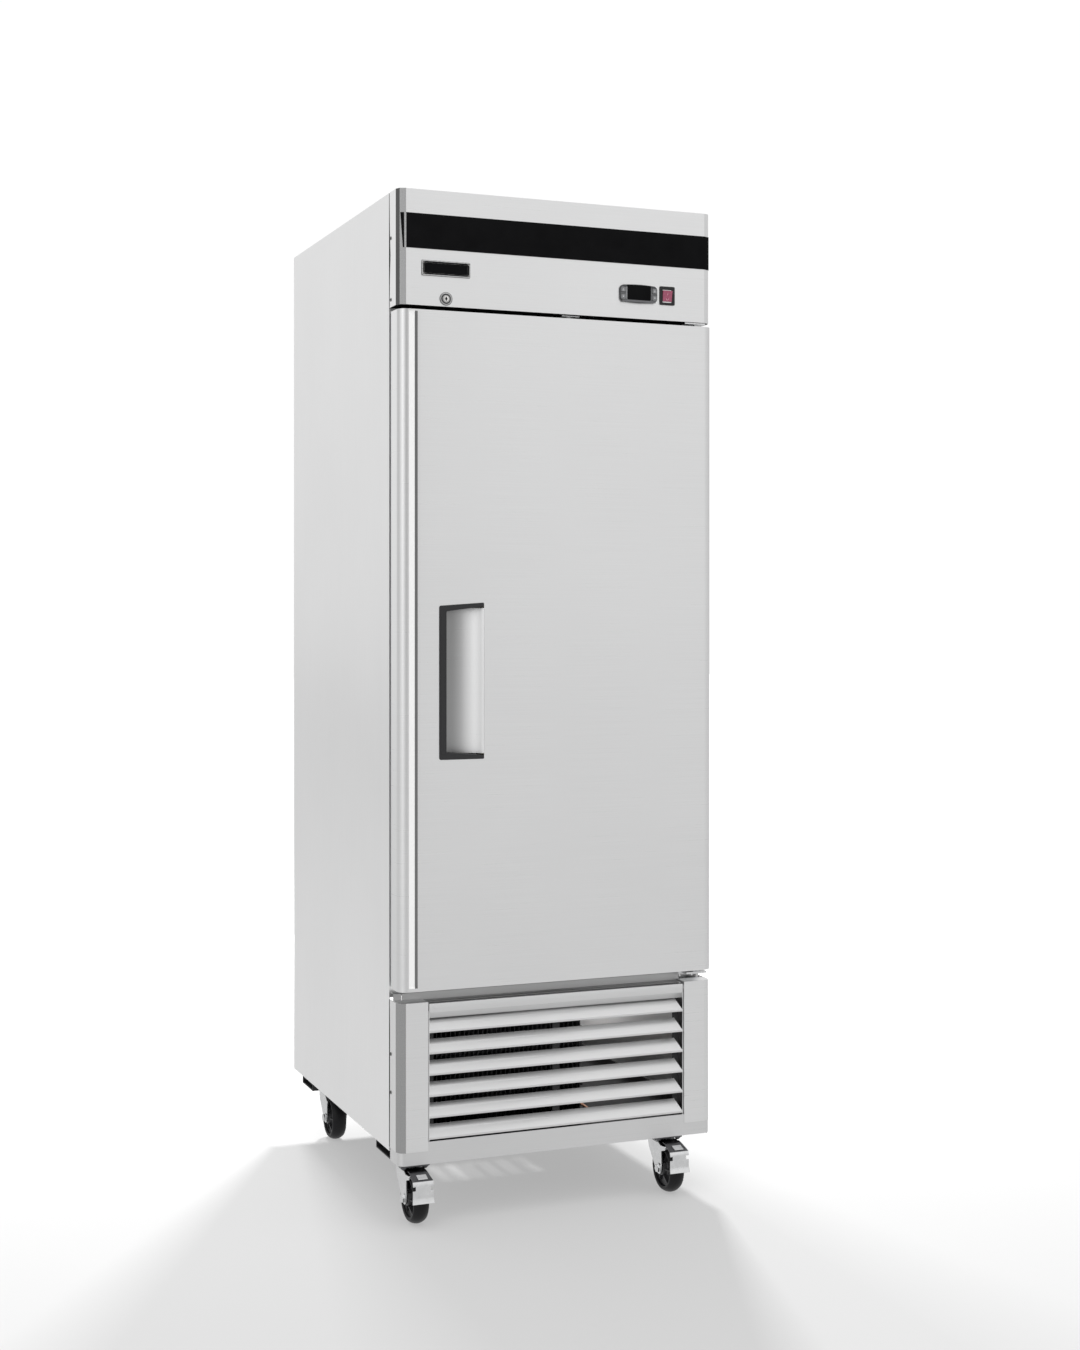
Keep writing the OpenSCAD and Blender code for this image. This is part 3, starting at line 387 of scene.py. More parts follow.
class Piece:
    """One visible piece: closed shells gathered in one mesh, then finished and put on its body."""

    def __init__(self, name, *materials):
        self.name, self.materials, self.bm = name, materials, bmesh.new()

    def verts(self, points):
        return [self.bm.verts.new(Vector(p) * MM) for p in points]

    def face(self, verts, mat=0):
        face = self.bm.faces.new(verts)
        face.material_index = mat

    def loops(self, rings, mat=0, closed=False):
        """Joins rings of vertices one after another."""
        pairs = list(zip(rings, rings[1:])) + ([(rings[-1], rings[0])] if closed else [])
        for a, b in pairs:
            count = len(a)
            for i in range(count):
                k = (i + 1) % count
                self.face([a[i], a[k], b[k], b[i]], mat)

    def hull(self, rings, mat=0):
        """Rings joined one after another, with a face at each end."""
        self.loops(rings, mat)
        self.face(rings[0], mat)
        self.face(rings[-1], mat)

    def prism(self, outline, axis, start, end, mat=0, mats=None):
        a = self.verts([in_plane(axis, p[0], p[1], start) for p in outline])
        b = self.verts([in_plane(axis, p[0], p[1], end) for p in outline])
        self.face(a, mat)
        self.face(b, mat)
        for i, p in enumerate(outline):
            k = (i + 1) % len(outline)
            pick = mats((Vector(p) + Vector(outline[k])) / 2) if mats else mat
            self.face([a[i], a[k], b[k], b[i]], pick)

    def ring(self, outer, inner, axis, start, end, mat=0):
        """A flat frame: two outlines of as many points, extruded."""
        rings = [self.verts([in_plane(axis, p[0], p[1], w) for p in line])
                 for line, w in ((outer, start), (outer, end), (inner, end), (inner, start))]
        self.loops(rings, mat, closed=True)

    def sheet(self, path, thickness, axis, start, end, mat=0, mats=None):
        """A folded sheet: an open path thickened to its right and extruded."""
        back = inset(path, thickness, closed=False)
        self.prism(list(path) + back[::-1], axis, start, end, mat, mats)

    def box(self, low, high, mat=0):
        self.prism(rectangle(low[0], low[1], high[0], high[1]), "z", low[2], high[2], mat)

    def lathe(self, profile, centre, axis, mat=0, steps=40, closed=False):
        """Turns (distance along, radius) points round an axis through centre."""
        way = Vector(axis).normalized()
        side = way.orthogonal().normalized()
        other = way.cross(side)
        rings = []
        for along, radius in profile:
            middle = Vector(centre) + way * along
            rings.append(self.verts([
                middle + (side * math.cos(t) + other * math.sin(t)) * radius
                for t in (2 * math.pi * k / steps for k in range(steps))]))
        if closed:
            self.loops(rings, mat, closed=True)
        else:
            self.hull(rings, mat)

    def rod(self, start, end, radius, chamfer=0.0):
        """A round bar with chamfered ends."""
        way = Vector(end) - Vector(start)
        size, tip = way.length, radius - chamfer
        profile = [(0, tip), (chamfer, radius), (size - chamfer, radius), (size, tip)]
        self.lathe(profile if chamfer else [(0, radius), (size, radius)], start, way, steps=16)

    def grid(self, columns, levels, place, hole, mats):
        """A sheet of quads: columns of plan points by levels of height; place() may push a point."""
        rows = [self.verts([place(c, z) for c in columns]) for z in levels]
        for j in range(len(levels) - 1):
            height = (levels[j] + levels[j + 1]) / 2
            for i in range(len(columns) - 1):
                middle = (Vector(columns[i]) + Vector(columns[i + 1])) / 2
                if not hole(middle, height):
                    quad = [rows[j][i], rows[j][i + 1], rows[j + 1][i + 1], rows[j + 1][i]]
                    self.face(quad, mats(middle, height))

    def done(self, body, nodes=(), bevel=0.0, sharp=32, thickness=0.0):
        """Makes the object, with smooth shading up to the sharp angle, and hands it to its body."""
        bm = self.bm
        if not thickness:
            bmesh.ops.recalc_face_normals(bm, faces=bm.faces)
        loose = [v for v in bm.verts if not v.link_faces]
        bmesh.ops.delete(bm, geom=loose, context="VERTS")
        for face in bm.faces:
            face.smooth = True
        for edge in bm.edges:
            edge.smooth = len(edge.link_faces) == 2 and edge.calc_face_angle(0.0) < math.radians(sharp)
        mesh = bpy.data.meshes.new(self.name)
        bm.to_mesh(mesh)
        bm.free()
        for mat in self.materials:
            mesh.materials.append(mat)
        obj = bpy.data.objects.new(self.name, mesh)
        SCENE.collection.objects.link(obj)
        if thickness:
            solid = obj.modifiers.new("thickness", "SOLIDIFY")
            solid.thickness = thickness * MM
            solid.offset = -1
        if bevel:
            edge = obj.modifiers.new("edges", "BEVEL")
            edge.width = bevel * MM
            edge.segments = 2
            edge.limit_method = "ANGLE"
            edge.angle_limit = math.radians(sharp)
            edge.harden_normals = True
        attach(obj, body)
        if nodes:
            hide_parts(*nodes)


# ---------------------------------------------------------------- cabinet outside

HEAD_LOW, HEAD_HIGH = box_of("header_panel")
HALF, FRONT, RETURN = HEAD_HIGH.x, HEAD_LOW.y, HEAD_HIGH.y
HEAD0, TOP = HEAD_LOW.z, HEAD_HIGH.z
CORNER = 16.0
SHEET = 1.2
LOCK_ABOVE_CAM = 9
# painted shade lines in the seams, as (height, width) points
SEAM_TOP = ((HEAD0 + 1, 2.2), (HEAD0 + 60, 4.2), (HEAD0 + 104, 8.0), (HEAD0 + 150, 4.0), (TOP - 1, 1.6))
SEAM_BASE = ((144, 3.0), (250, 4.5), (380, 4.5), (436, 3.0))
SIDE_SCREWS_Z = (1948, 1826, 330, 254)
SIDE_SCREWS_BACK = 48
GRILLE_SCREW_X, GRILLE_SCREW_Z = 265, 424


def wrap_path(half, front, back, radius, steps):
    """Plan path of a front wrap, from its left back end round to its right back end."""
    return fillet([(-half, back), (-half, front), (half, front), (half, back)],
                  [0, radius, radius, 0], steps=steps)


def facet(middle):
    """Material index of a wrap with two facets at its left corner, which carry painted shade: 1 on the side
    one, 2 on the front one.
    """
    if middle[0] > CORNER - HALF or middle[1] > FRONT + CORNER:
        return 0
    return 1 if middle[0] < CORNER * 0.4 - HALF else 2


def header():
    seam = 1.6
    piece = Piece("header", FRONT_STEEL, DARK_SHADE_STEEL, CORNER_HALF_SHADE, SHADE_BLACK)
    # the side and front facets of the left corner carry steel darkened as painted shade
    piece.sheet(wrap_path(HALF, FRONT, RETURN - seam, CORNER, 2), -SHEET, "z", HEAD0, TOP, mats=facet)
    lid = wrap_path(HALF - SHEET - 0.1, FRONT + SHEET + 0.1, RETURN - 0.1, CORNER - SHEET, 2)
    piece.prism(lid, "z", TOP - SHEET, TOP - 0.05)
    # the lid under the header is painted black as the shade in the gap above the door
    piece.prism(lid, "z", HEAD0 + 0.05, HEAD0 + SHEET, 3)
    piece.done("cabinet", ["header_panel"], bevel=0.5, sharp=15)


def seam_shade():
    """Black strips painted as the shade in the seams between the front returns and the side panels."""
    near = RETURN - 0.2
    for side, name in ((-1, "seam_shade_left"), (1, "seam_shade_right")):
        shade_line = Piece(name, SHADE_BLACK)
        inner, outer = side * (HALF - 1.2), side * (HALF + 0.25)
        for levels in (SEAM_TOP, SEAM_BASE):
            shade_line.hull([shade_line.verts([(inner, near, z), (outer, near, z), (outer, near - wide, z),
                                   (inner, near - wide, z)]) for z, wide in levels])
        shade_line.done("cabinet")


def fixings():
    """Countersunk side screws, their heads steel darkened as painted shade and their slots painted black as
    shade; the ones on the grille are flush and the colour of the strip.
    """
    piece = Piece("screw_heads", DARK_SHADE_STEEL, GRILLE_STEEL, SHADE_BLACK)
    for side in (-1, 1):
        slot = sorted((side * (HALF + 1.3), side * (HALF + 1.5)))
        for z in SIDE_SCREWS_Z:
            y = FRONT + SIDE_SCREWS_BACK
            piece.lathe([(-0.4, 3.8), (0.5, 3.8), (1.2, 2.6), (1.45, 0.8)], (side * HALF, y, z), (side, 0, 0),
                        steps=28)
            piece.box((slot[0], y - 2.2, z - 0.4), (slot[1], y + 2.2, z + 0.4), 2)
        centre = (side * GRILLE_SCREW_X, FRONT + 2.6, GRILLE_SCREW_Z)
        piece.lathe([(-0.4, 3.4), (0.1, 3.4), (0.3, 2.6), (0.32, 0.6)], centre, FORWARD, 1, steps=28)
    piece.done("cabinet", ["screws"], sharp=30)


def fascia():
    """The black band, which wraps the right corner, and the silver trim with a black wedge at its left,
    painted as the shadow of a gap.
    """
    low, high = box_of("fascia_band")
    left, right = CORNER - HALF, HALF - CORNER
    turn = CORNER * math.sqrt(0.5)
    bend = [(right, FRONT), (right + turn, FRONT + CORNER - turn), (HALF, FRONT + CORNER)]
    outer = inset([(left, FRONT)] + bend, 1.0, closed=False)
    inner = [(x - 0.2, y + 0.2) for x, y in bend[::-1]]
    piece = Piece("fascia_band_panel", GLOSS_BLACK)
    piece.prism(outer + inner + [(left, FRONT + 0.2)], "z", low.z, high.z)
    piece.done("cabinet", ["fascia_band"], bevel=0.25)
    trim = Piece("fascia_end_trim", SILVER, GLOSS_BLACK)
    trim.box((left - 1.9, FRONT - 1.2, low.z), (left + 0.3, FRONT + 1.4, high.z))
    slope = math.sqrt(2) - 1
    wedge = [(-10.4, high.z), (-3.4, high.z), (-3.2, low.z), (-5.8, low.z)]
    trim.hull([trim.verts([(left + x, FRONT - x * slope + lift, z) for x, z in wedge])
               for lift in (-0.5, 0.4)], 1)
    trim.done("cabinet", bevel=0.2)


def badge():
    low, high = box_of("badge")
    frame_piece = Piece("badge_frame", SILVER, SATIN_BLACK)
    outer = rectangle(low.x + 0.5, low.z + 0.5, high.x - 0.5, high.z - 0.5, 2.0)
    frame_piece.ring(outer, inset(outer, 2.0), "y", low.y, FRONT - 0.02)
    edge = rectangle(low.x, low.z, high.x, high.z, 2.4)
    # the thin black outline round the frame is a painted shadow line
    frame_piece.ring(edge, inset(edge, 1.0), "y", FRONT - 0.5, FRONT - 0.02, 1)
    frame_piece.done("cabinet", ["badge"], bevel=0.4)
    plate = Piece("badge_plate", GLOSS_BLACK, CHROME)
    field = rectangle(low.x + 1.9, low.z + 1.9, high.x - 1.9, high.z - 1.9, 0.8)
    plate.prism(field, "y", low.y + 1.0, FRONT - 0.02)
    line = inset(field, 3.4)
    plate.ring(line, inset(line, 0.5), "y", low.y + 0.8, low.y + 1.05, 1)
    plate.done("cabinet", bevel=0.2)


def lock():
    """Collar with two rings painted black as the shade of its grooves and a nut behind, and the barrel with
    its cam and a keyway and centre painted black as shade.
    """
    low, high = box_of("lock_plug")
    centre = Vector(((low.x + high.x) / 2, FRONT, low.z + LOCK_ABOVE_CAM))
    body = Piece("lock_collar", SILVER, SATIN_BLACK)
    collar = [(0, 12.6), (0.7, 13.0), (1.5, 12.2), (1.9, 11.2), (2.0, 10.2), (1.3, 9.4), (1.2, 8.2),
              (1.8, 7.6), (1.8, 6.7), (-30, 6.7), (-30, 9.4), (-1, 9.4)]
    body.lathe(collar, centre, FORWARD, closed=True, steps=56)
    for groove in ([(1.1, 12.7), (1.6, 12.8), (1.3, 13.1), (0, 13.1), (0, 12.7)],
                   [(1.25, 7.4), (1.95, 7.6), (2.02, 9.4), (1.3, 9.8)]):
        body.lathe(groove, centre, FORWARD, 1, closed=True, steps=56)
    body.lathe([(-8, 9.5), (-8, 14), (-13, 14), (-13, 9.5)], centre, FORWARD, closed=True, steps=6)
    body.done("cabinet", ["lock_body"], sharp=28)
    plug = Piece("lock_barrel", CHROME, SATIN_BLACK)
    plug.lathe([(-25.5, 6.3), (1.4, 6.3), (2.0, 5.9), (2.3, 4.6), (2.35, 0.4)], centre, FORWARD)
    key = rectangle(centre.x - 1.1, centre.z - 4.2, centre.x + 1.1, centre.z + 4.2, 0.9)
    plug.prism(key, "y", FRONT - 2.42, FRONT - 2.2, 1)
    plug.lathe([(2.2, 2.6), (2.44, 2.6)], centre, FORWARD, 1, steps=20)
    arm = rectangle(centre.x - 7, low.z, centre.x + 7, high.z, 6.5)
    plug.prism(arm, "y", FRONT + 24.4, FRONT + 26.4)
    plug.lathe([(-26.2, 5.0), (-29.0, 5.0)], centre, FORWARD, steps=6)
    plug.done("lock_plug_body", ["lock_plug"], bevel=0.12)


def arrow_and_bar(cap, low, high, tip):
    """The raised marks of a key: an arrow that points up or down, and a bar."""
    x, z = (low.x + high.x) / 2, (low.z + high.z) / 2
    near, far = low.y - 0.08, low.y + 0.2
    cap.prism([(x - 2.2, z - tip), (x, z + tip * 1.6), (x + 2.2, z - tip)], "y", near, far, 1)
    cap.box((x - 2.2, near, z - tip * 2.6 - 0.3), (x + 2.2, far, z - tip * 2.6 + 0.3), 1)


def controller():
    """A bowed case round a dark display, with two keys at each side."""
    low, high = box_of("controller_bezel")
    pane_low, pane_high = box_of("controller_window")
    keys = {n: box_of(n) for n in ("button_left_upper", "button_left_lower", "button_right_upper",
                                   "button_right_lower")}
    face, back, gap = FRONT - 5, FRONT - 0.05, 0.4
    left = keys["button_left_upper"][0].x - gap
    right = keys["button_right_upper"][1].x + gap
    bar_left, bar_right = left + 10.9, right - 10.8
    middle = (pane_low.z + pane_high.z) / 2
    centre = Vector(((left + right) / 2, middle))
    shell = Piece("controller_case", BEZEL_DARK, BEZEL_GREY, MARK_WHITE)
    outline, steps, end_width, end_height = [], 12, 7, 11
    for side in (1, -1):
        for k in range(steps + 1):
            t = k / steps
            x = low.x + end_width + (high.x - low.x - 2 * end_width) * (t if side > 0 else 1 - t)
            outline.append((x, middle + side * (16.2 + 2.6 * math.sin(math.pi * (0.08 + 0.84 * t)))))
        x = high.x - 2 if side > 0 else low.x + 2
        outline += [(x, middle + side * end_height), (x, middle - side * end_height)]
    radii = [0] * steps + [3, 5, 5, 3] + [0] * (steps - 1) + [3, 5, 5]
    outline = fillet(outline, radii, closed=True, steps=4)
    inner = []
    for p in outline:
        way = p - centre
        scale = min((right - left) / 2 / max(abs(way.x), 1e-6),
                    (pane_high.z - pane_low.z) / 2 / max(abs(way.y), 1e-6))
        inner.append(centre + way * scale)
    shell.ring(outline, inner, "y", face, back)
    for x0, x1 in ((bar_left, pane_low.x + 2.0), (pane_high.x - 2.0, bar_right)):
        shell.box((x0, face + 0.3, pane_low.z), (x1, back, pane_high.z), 1)
    for x0, x1 in ((left, bar_left), (bar_right, right)):
        shell.box((x0, face + 0.3, middle - 1.9), (x1, back, middle + 1.9), 1)
    shell.box((left, FRONT - 1.2, pane_low.z), (right, back, pane_high.z))
    shell.box((pane_low.x - 0.4, face - 0.1, pane_low.z + 1), (pane_low.x + 1.0, face + 0.4, pane_high.z), 2)
    shell.box((low.x + 6, face - 0.25, low.z + 1.4), (high.x - 6, face + 0.4, low.z + 5.6), 1)
    shell.box((pane_low.x, FRONT + 0.5, pane_low.z + 1), (pane_high.x, FRONT + 28, pane_high.z - 1))
    shell.done("cabinet", ["controller_bezel"], bevel=0.5)
    glass = Piece("controller_display", GLOSS_BLACK)
    pane = rectangle(pane_low.x + 0.6, pane_low.z + 0.6, pane_high.x - 0.6, high.z - 1.6, 1.2)
    glass.prism(pane, "y", face - 0.45, FRONT - 0.3)
    glass.done("cabinet", ["controller_window"], bevel=0.3)
    for name, (b0, b1) in keys.items():
        cap = Piece(name + "_cap", BUTTON_GREY, MARK_WHITE)
        cap.prism(rectangle(b0.x, b0.z, b1.x, b1.z, 1.6), "y", b0.y, b0.y + 3)
        cap.box((b0.x + 3, b0.y + 2.5, b0.z + 3), (b1.x - 3, b1.y, b1.z - 3))
        arrow_and_bar(cap, b0, b1, 1 if "upper" in name else -1)
        cap.done(name + "_body", [name], bevel=0.35)


def rocker_switch():
    """A black housing with a raised rim, and the red rocker with its bar and ring marks."""
    low, high = box_of("rocker_housing")
    r0, r1 = box_of("rocker")
    pivot_y, pivot_z, middle = FRONT + 4, (r0.z + r1.z) / 2, (r0.x + r1.x) / 2
    case = Piece("rocker_case", SATIN_BLACK)
    outer = rectangle(low.x + 0.5, low.z + 2.0, high.x - 0.5, high.z - 0.6, 2.2)
    inner = rectangle(r0.x - 0.6, r0.z - 2.2, r1.x + 0.6, r1.z + 2.2, 0.8)
    case.ring(outer, inner, "y", FRONT - 2.4, FRONT - 0.05)
    rim = rectangle(r0.x - 2.2, r0.z - 3.8, r1.x + 2.2, r1.z + 3.8, 1.2)
    case.ring(rim, inner, "y", FRONT - 3.1, FRONT - 2.3)
    body = rectangle(low.x + 3.5, low.z + 3.5, high.x - 3.5, high.z - 3.5, 1)
    case.ring(body, inner, "y", FRONT + 0.1, FRONT + 24)
    case.prism(body, "y", FRONT + 22, FRONT + 26)
    case.rod((r0.x - 1.5, pivot_y, pivot_z), (r1.x + 1.5, pivot_y, pivot_z), 1.9)
    for z in (low.z + 10, high.z - 12):
        case.box((low.x + 15, FRONT + 25.5, z), (low.x + 20, high.y, z + 1))
    case.done("cabinet", ["rocker_housing"], bevel=0.4)
    cap = Piece("rocker_cap", ROCKER_RED, ROCKER_MARK)
    curve = [(-5.5, -11), (-6.3, -6), (-6.9, 0), (-8.2, 5.5), (-10, 11), (-1, 11.4), (7.4, 5), (7.4, -5),
             (-1, -11.4)]
    cap.prism([(pivot_y + y, pivot_z + z) for y, z in curve], "x", r0.x, r1.x)
    bar_y, bar_z, ring_y, ring_z = pivot_y - 8.35, pivot_z + 5.2, pivot_y - 6.5, pivot_z - 5.4
    cap.box((middle - 0.6, bar_y, bar_z - 3.2), (middle + 0.6, bar_y + 1.2, bar_z + 3.2), 1)
    ring = [(middle + math.cos(t) * 3.0, ring_z + math.sin(t) * 3.0)
            for t in (-2 * math.pi * k / 24 for k in range(24))]
    cap.ring(ring, inset(ring, 0.9), "y", ring_y, ring_y + 1.2, 1)
    cap.done("rocker_body", ["rocker"], bevel=0.4)


# ---------------------------------------------------------------- door

HANDLE_SLANT = 6.5
HIGHLIGHT_LEFT = -323
GROOVE_LEFT, GROOVE_RIGHT, FLAT_NEAR, FLAT_FROM = -310.5, -305.0, -301, -297
GROOVE_DEPTH = 2.2
DOOR_CORNER = 20.0


def door():
    """The folded panel: rounded sides, a flat strip painted as a highlight and a groove painted dark as shade
    at the left, and the handle's hole.
    """
    low, high = box_of("door_skin")
    h0, h1 = box_of("handle_frame")
    front = low.y
    arc = fillet([(-HALF, high.y), (-HALF, front), (0, front)], [0, DOOR_CORNER, 0], steps=14)[:-1]
    hole_left, hole_right, hole_low, hole_high = h0.x + 1.5, h1.x, h0.z + 1.5, h1.z - 1.5
    flat = [(x, front) for x in (GROOVE_LEFT, GROOVE_RIGHT, FLAT_NEAR, FLAT_FROM, hole_left, hole_right)]
    plan = [(p.x, p.y) for p in arc] + flat + [(-p.x, p.y) for p in arc[::-1]]
    depth = {GROOVE_LEFT: GROOVE_DEPTH, GROOVE_RIGHT: 0.28, FLAT_NEAR: 0.08}
    start, end = low.z + 7, high.z - 3.5
    levels = [low.z, start, start + 4, hole_low, hole_high, end - 3, end, high.z]

    def place(p, z):
        push = depth.get(p[0], 0) if start < z < end else 0
        drop = HANDLE_SLANT if p[0] == hole_left and z == hole_high else 0
        return Vector((p[0], p[1] + push, z - drop))

    def in_hole(middle, z):
        return hole_left < middle.x < hole_right and hole_low < z < hole_high

    # material index 1 is the painted highlight strip, 2 the groove painted dark as shade
    def strip(middle, z):
        if not (start < z < end) or middle.y > front + 0.1:
            return 0
        return 1 if HIGHLIGHT_LEFT < middle.x < GROOVE_LEFT else 2 if GROOVE_LEFT < middle.x < GROOVE_RIGHT else 0

    skin = Piece("door_panel", FRONT_STEEL, PAINTED_HIGHLIGHT, GROOVE_SHADE_STEEL)
    skin.grid(plan, levels, place, in_hole, strip)
    skin.done("door", ["door_skin"], sharp=8, thickness=SHEET)
    caps = Piece("door_end_caps", FRONT_STEEL)
    shape = wrap_path(HALF - SHEET - 0.1, front + SHEET + 0.1 + GROOVE_DEPTH, high.y, DOOR_CORNER - SHEET, 10)
    tucked = [(p.x * 0.9955, p.y + 1.0) for p in shape]
    for z in (low.z + 0.1, high.z - SHEET - 0.1):
        caps.prism(shape, "z", z, z + SHEET)
    for z0, z1 in ((low.z + 0.1, low.z + 14), (high.z - 14, high.z - 0.1)):
        caps.sheet(tucked, -0.8, "z", z0, z1)
    caps.done("door", sharp=20)


def door_core():
    """The injected foam behind the panel, open where the handle pocket sits."""
    low, high = box_of("door_foam")
    h0, h1 = box_of("handle_frame")
    front = box_of("door_skin")[0].y + 4.2
    piece = Piece("door_insulation", FOAM)
    x0, x1 = h0.x - 2, h1.x + 3
    for a, b, round_a, round_b in ((low.x + 1, x0, 20, 0), (x1, high.x - 1, 0, 20)):
        block = fillet([(a, front), (a, high.y - 0.2), (b, high.y - 0.2), (b, front)],
                       [round_a, 0, 0, round_b], closed=True, steps=8)
        piece.prism(block, "z", h0.z, h1.z)
    shape = wrap_path(high.x - 0.4, front, high.y - 0.2, 18, 8)
    piece.prism(shape, "z", h1.z + 0.1, high.z - 0.5)
    piece.prism(shape, "z", low.z + 0.5, h0.z - 0.1)
    piece.done("door", ["door_foam"], sharp=30)


def handle():
    """A black surround, slanted at its top left, and a steel cup curved round an upright axis."""
    low, high = box_of("handle_frame")
    s0, s1 = box_of("handle_scoop")
    front = box_of("door_skin")[0].y
    mid, half = (low.z + high.z) / 2, (high.z - low.z) / 2
    bar, thick, thin = low.x + 15.0, 14.0, 7.6

    def outline(shrink):
        left, right, top = low.x + shrink, high.x - 0.4, half - shrink
        shape = [(right, -top), (left, -top), (left, top - HANDLE_SLANT), (right, top), (right, half - thin),
                 (bar, half - 3.5 - thick), (bar, thick - half), (right, thin - half)]
        return [(p.x, mid + p.y) for p in fillet(shape, [2.5, 4, 4, 2.5, 2.5, 1, 1, 2.5], closed=True)]

    surround = Piece("handle_surround", HANDLE_BLACK)
    surround.prism(outline(0), "y", low.y, front + 0.05)
    surround.prism(outline(1.8), "y", front - 0.5, high.y + 0.5)
    raised = rectangle(low.x + 3.2, low.z + 11, bar - 3.4, high.z - 17, 2.5)
    surround.prism(raised, "y", low.y - 0.7, low.y + 0.4)
    surround.done("door", ["handle_frame"], bevel=0.8)
    # the cup's colour is darkened toward its deep side as painted shade
    cup = Piece("handle_cup", HANDLE_STEEL)
    axis_x, axis_y, radius, steps = s0.x + 17.6, front - 59.1, 94.1, 24
    path = [(s0.x + 0.2, front + 11), (s0.x + 0.2, axis_y + radius - 0.2), (axis_x - 6, axis_y + radius)]
    for k in range(steps + 1):
        along = (s1.x - 1.6 - axis_x) * k / steps
        path.append((axis_x + along, axis_y + math.sqrt(radius ** 2 - along ** 2)))
    path.append((high.x + 1.6, front - 0.06))
    path = fillet(path, [0, 5] + [0] * (len(path) - 2), steps=4)
    cup.sheet(path, -SHEET, "z", s0.z + 0.2, s1.z - 0.2)
    cup.done("door", ["handle_scoop"], sharp=40)


# ---------------------------------------------------------------- base

def base_front():
    """The two pillars, each a rounded wrap with a cap sheet at its top."""
    low, high = box_of("pillars")
    inner = 280.0
    # the corner facets of each pillar carry steel darkened as painted shade
    piece = Piece("base_pillars", FRONT_STEEL, PILLAR_CORNER_SHADE, PILLAR_CORNER_SHADE)
    for side in (-1, 1):
        wrap = fillet([(-HALF, RETURN - 1.0), (-HALF, FRONT), (-inner, FRONT), (-inner, FRONT + 14)],
                      [0, CORNER, 1.5, 0], steps=2)
        piece.sheet([(p.x * -side, p.y) for p in wrap], -SHEET * -side, "z", low.z, high.z, mats=facet)
        cap = fillet([(-HALF + 1.4, FRONT + 36), (-HALF + 1.4, FRONT + 1.4), (-inner - 1.2, FRONT + 1.4),
                      (-inner - 1.2, FRONT + 36)], [0, CORNER - 1.2, 0, 0], steps=2)
        piece.prism([(p.x * -side, p.y) for p in cap], "z", high.z - SHEET - 0.1, high.z - 0.1)
    piece.done("cabinet", ["pillars"], bevel=0.4, sharp=15)


def grille():
    """A strip over six louvres with slanted right ends; a lip behind the strip closes the top gap."""
    low, high = box_of("louvre_grille")
    half, count, strip = high.x, 6, 19.0
    start, foot, deep, slant = low.z - 0.3, high.z - strip, FRONT + 21, 0.48
    piece = Piece("grille_louvres", GRILLE_STEEL, POWDER_BLACK)
    top = fillet([(FRONT + 12, high.z), (FRONT + 2.6, high.z), (FRONT + 2.6, foot), (FRONT + 6, foot),
                  (FRONT + 14, foot - 12)], [0, 1.5, 1.0, 0, 0], steps=3)
    piece.sheet(top, -SHEET, "x", 1 - half, half - 1)
    for i in range(count):
        z = start + (foot - start) * i / count
        louvre = fillet([(FRONT + 5.5, z + 2.6), (FRONT + 3, z + 3), (FRONT + 3, z + 7.2), (deep, z + 29.7)],
                        [0, 0.5, 1.5, 0], steps=4)
        first = len(piece.bm.verts)
        piece.sheet(louvre, SHEET, "x", -half + 1.5, half - 1.5)
        piece.bm.verts.ensure_lookup_table()
        for vert in piece.bm.verts[first:]:
            rise = vert.co.z / MM - z - 7.5
            if vert.co.x > 0 and rise > 0:
                vert.co.x -= rise * slant * MM
    for x in (-half, half - 1.5):
        piece.box((x, FRONT + 2.6, low.z), (x + 1.5, deep + 3, high.z - 15))
    for x in (-half + 1, -7.5, half - 16):
        piece.box((x, deep, low.z), (x + 15, deep + 1.5, high.z - 15), 1)
    piece.done("cabinet", ["louvre_grille"], bevel=0.3)


def rails():
    """The rail under the grille with its floor flange, and the ledges and deck under the door, their steel
    darkened as painted shade.
    """
    low, high = box_of("base_rails")
    face, end = 44, HALF - 20
    piece = Piece("base_rail_trim", RAIL_STEEL, LEDGE_SHADE_STEEL, DECK_SHADE_STEEL)
    path = wrap_path(HALF - 1.4, FRONT + 1.4, RETURN - 2, CORNER - 1.4, 6)
    piece.sheet(path, -SHEET, "z", low.z, low.z + face)
    piece.box((-end, FRONT + 2.8, low.z), (end, FRONT + 9, low.z + SHEET))
    hinge = box_of("bottom_hinge")[0].x - 3
    ledge = fillet([(RETURN - 0.6, high.z), (RETURN - 22, high.z), (RETURN - 22, high.z - 30)],
                   [0, 1.5, 0], steps=3)
    for x0, x1 in ((-HALF + 1.6, -HALF + 18.2), (-HALF + 19.0, hinge)):
        piece.sheet(ledge, -SHEET, "x", x0, x1, 1)
    piece.box((-end, FRONT + 12, high.z - 17), (hinge, RETURN - 23.4, high.z - 15.8), 2)
    piece.done("cabinet", ["base_rails"], bevel=0.25)


# ---------------------------------------------------------------- casters

PLATE_TOP = 115.0
TRAIL = 35
BRAKED = ("fl", "fr")
WHEEL_RADIUS = 50
CASTERS, AXLES = {}, {}
for corner in ("fl", "fr", "rl", "rr"):
    wheel_low, wheel_high = box_of("wheel_" + corner)
    hub = (wheel_low + wheel_high) / 2
    CASTERS[corner] = Vector((hub.x, hub.y + TRAIL, 0))
    AXLES[corner] = Vector((hub.x, hub.y, WHEEL_RADIUS))


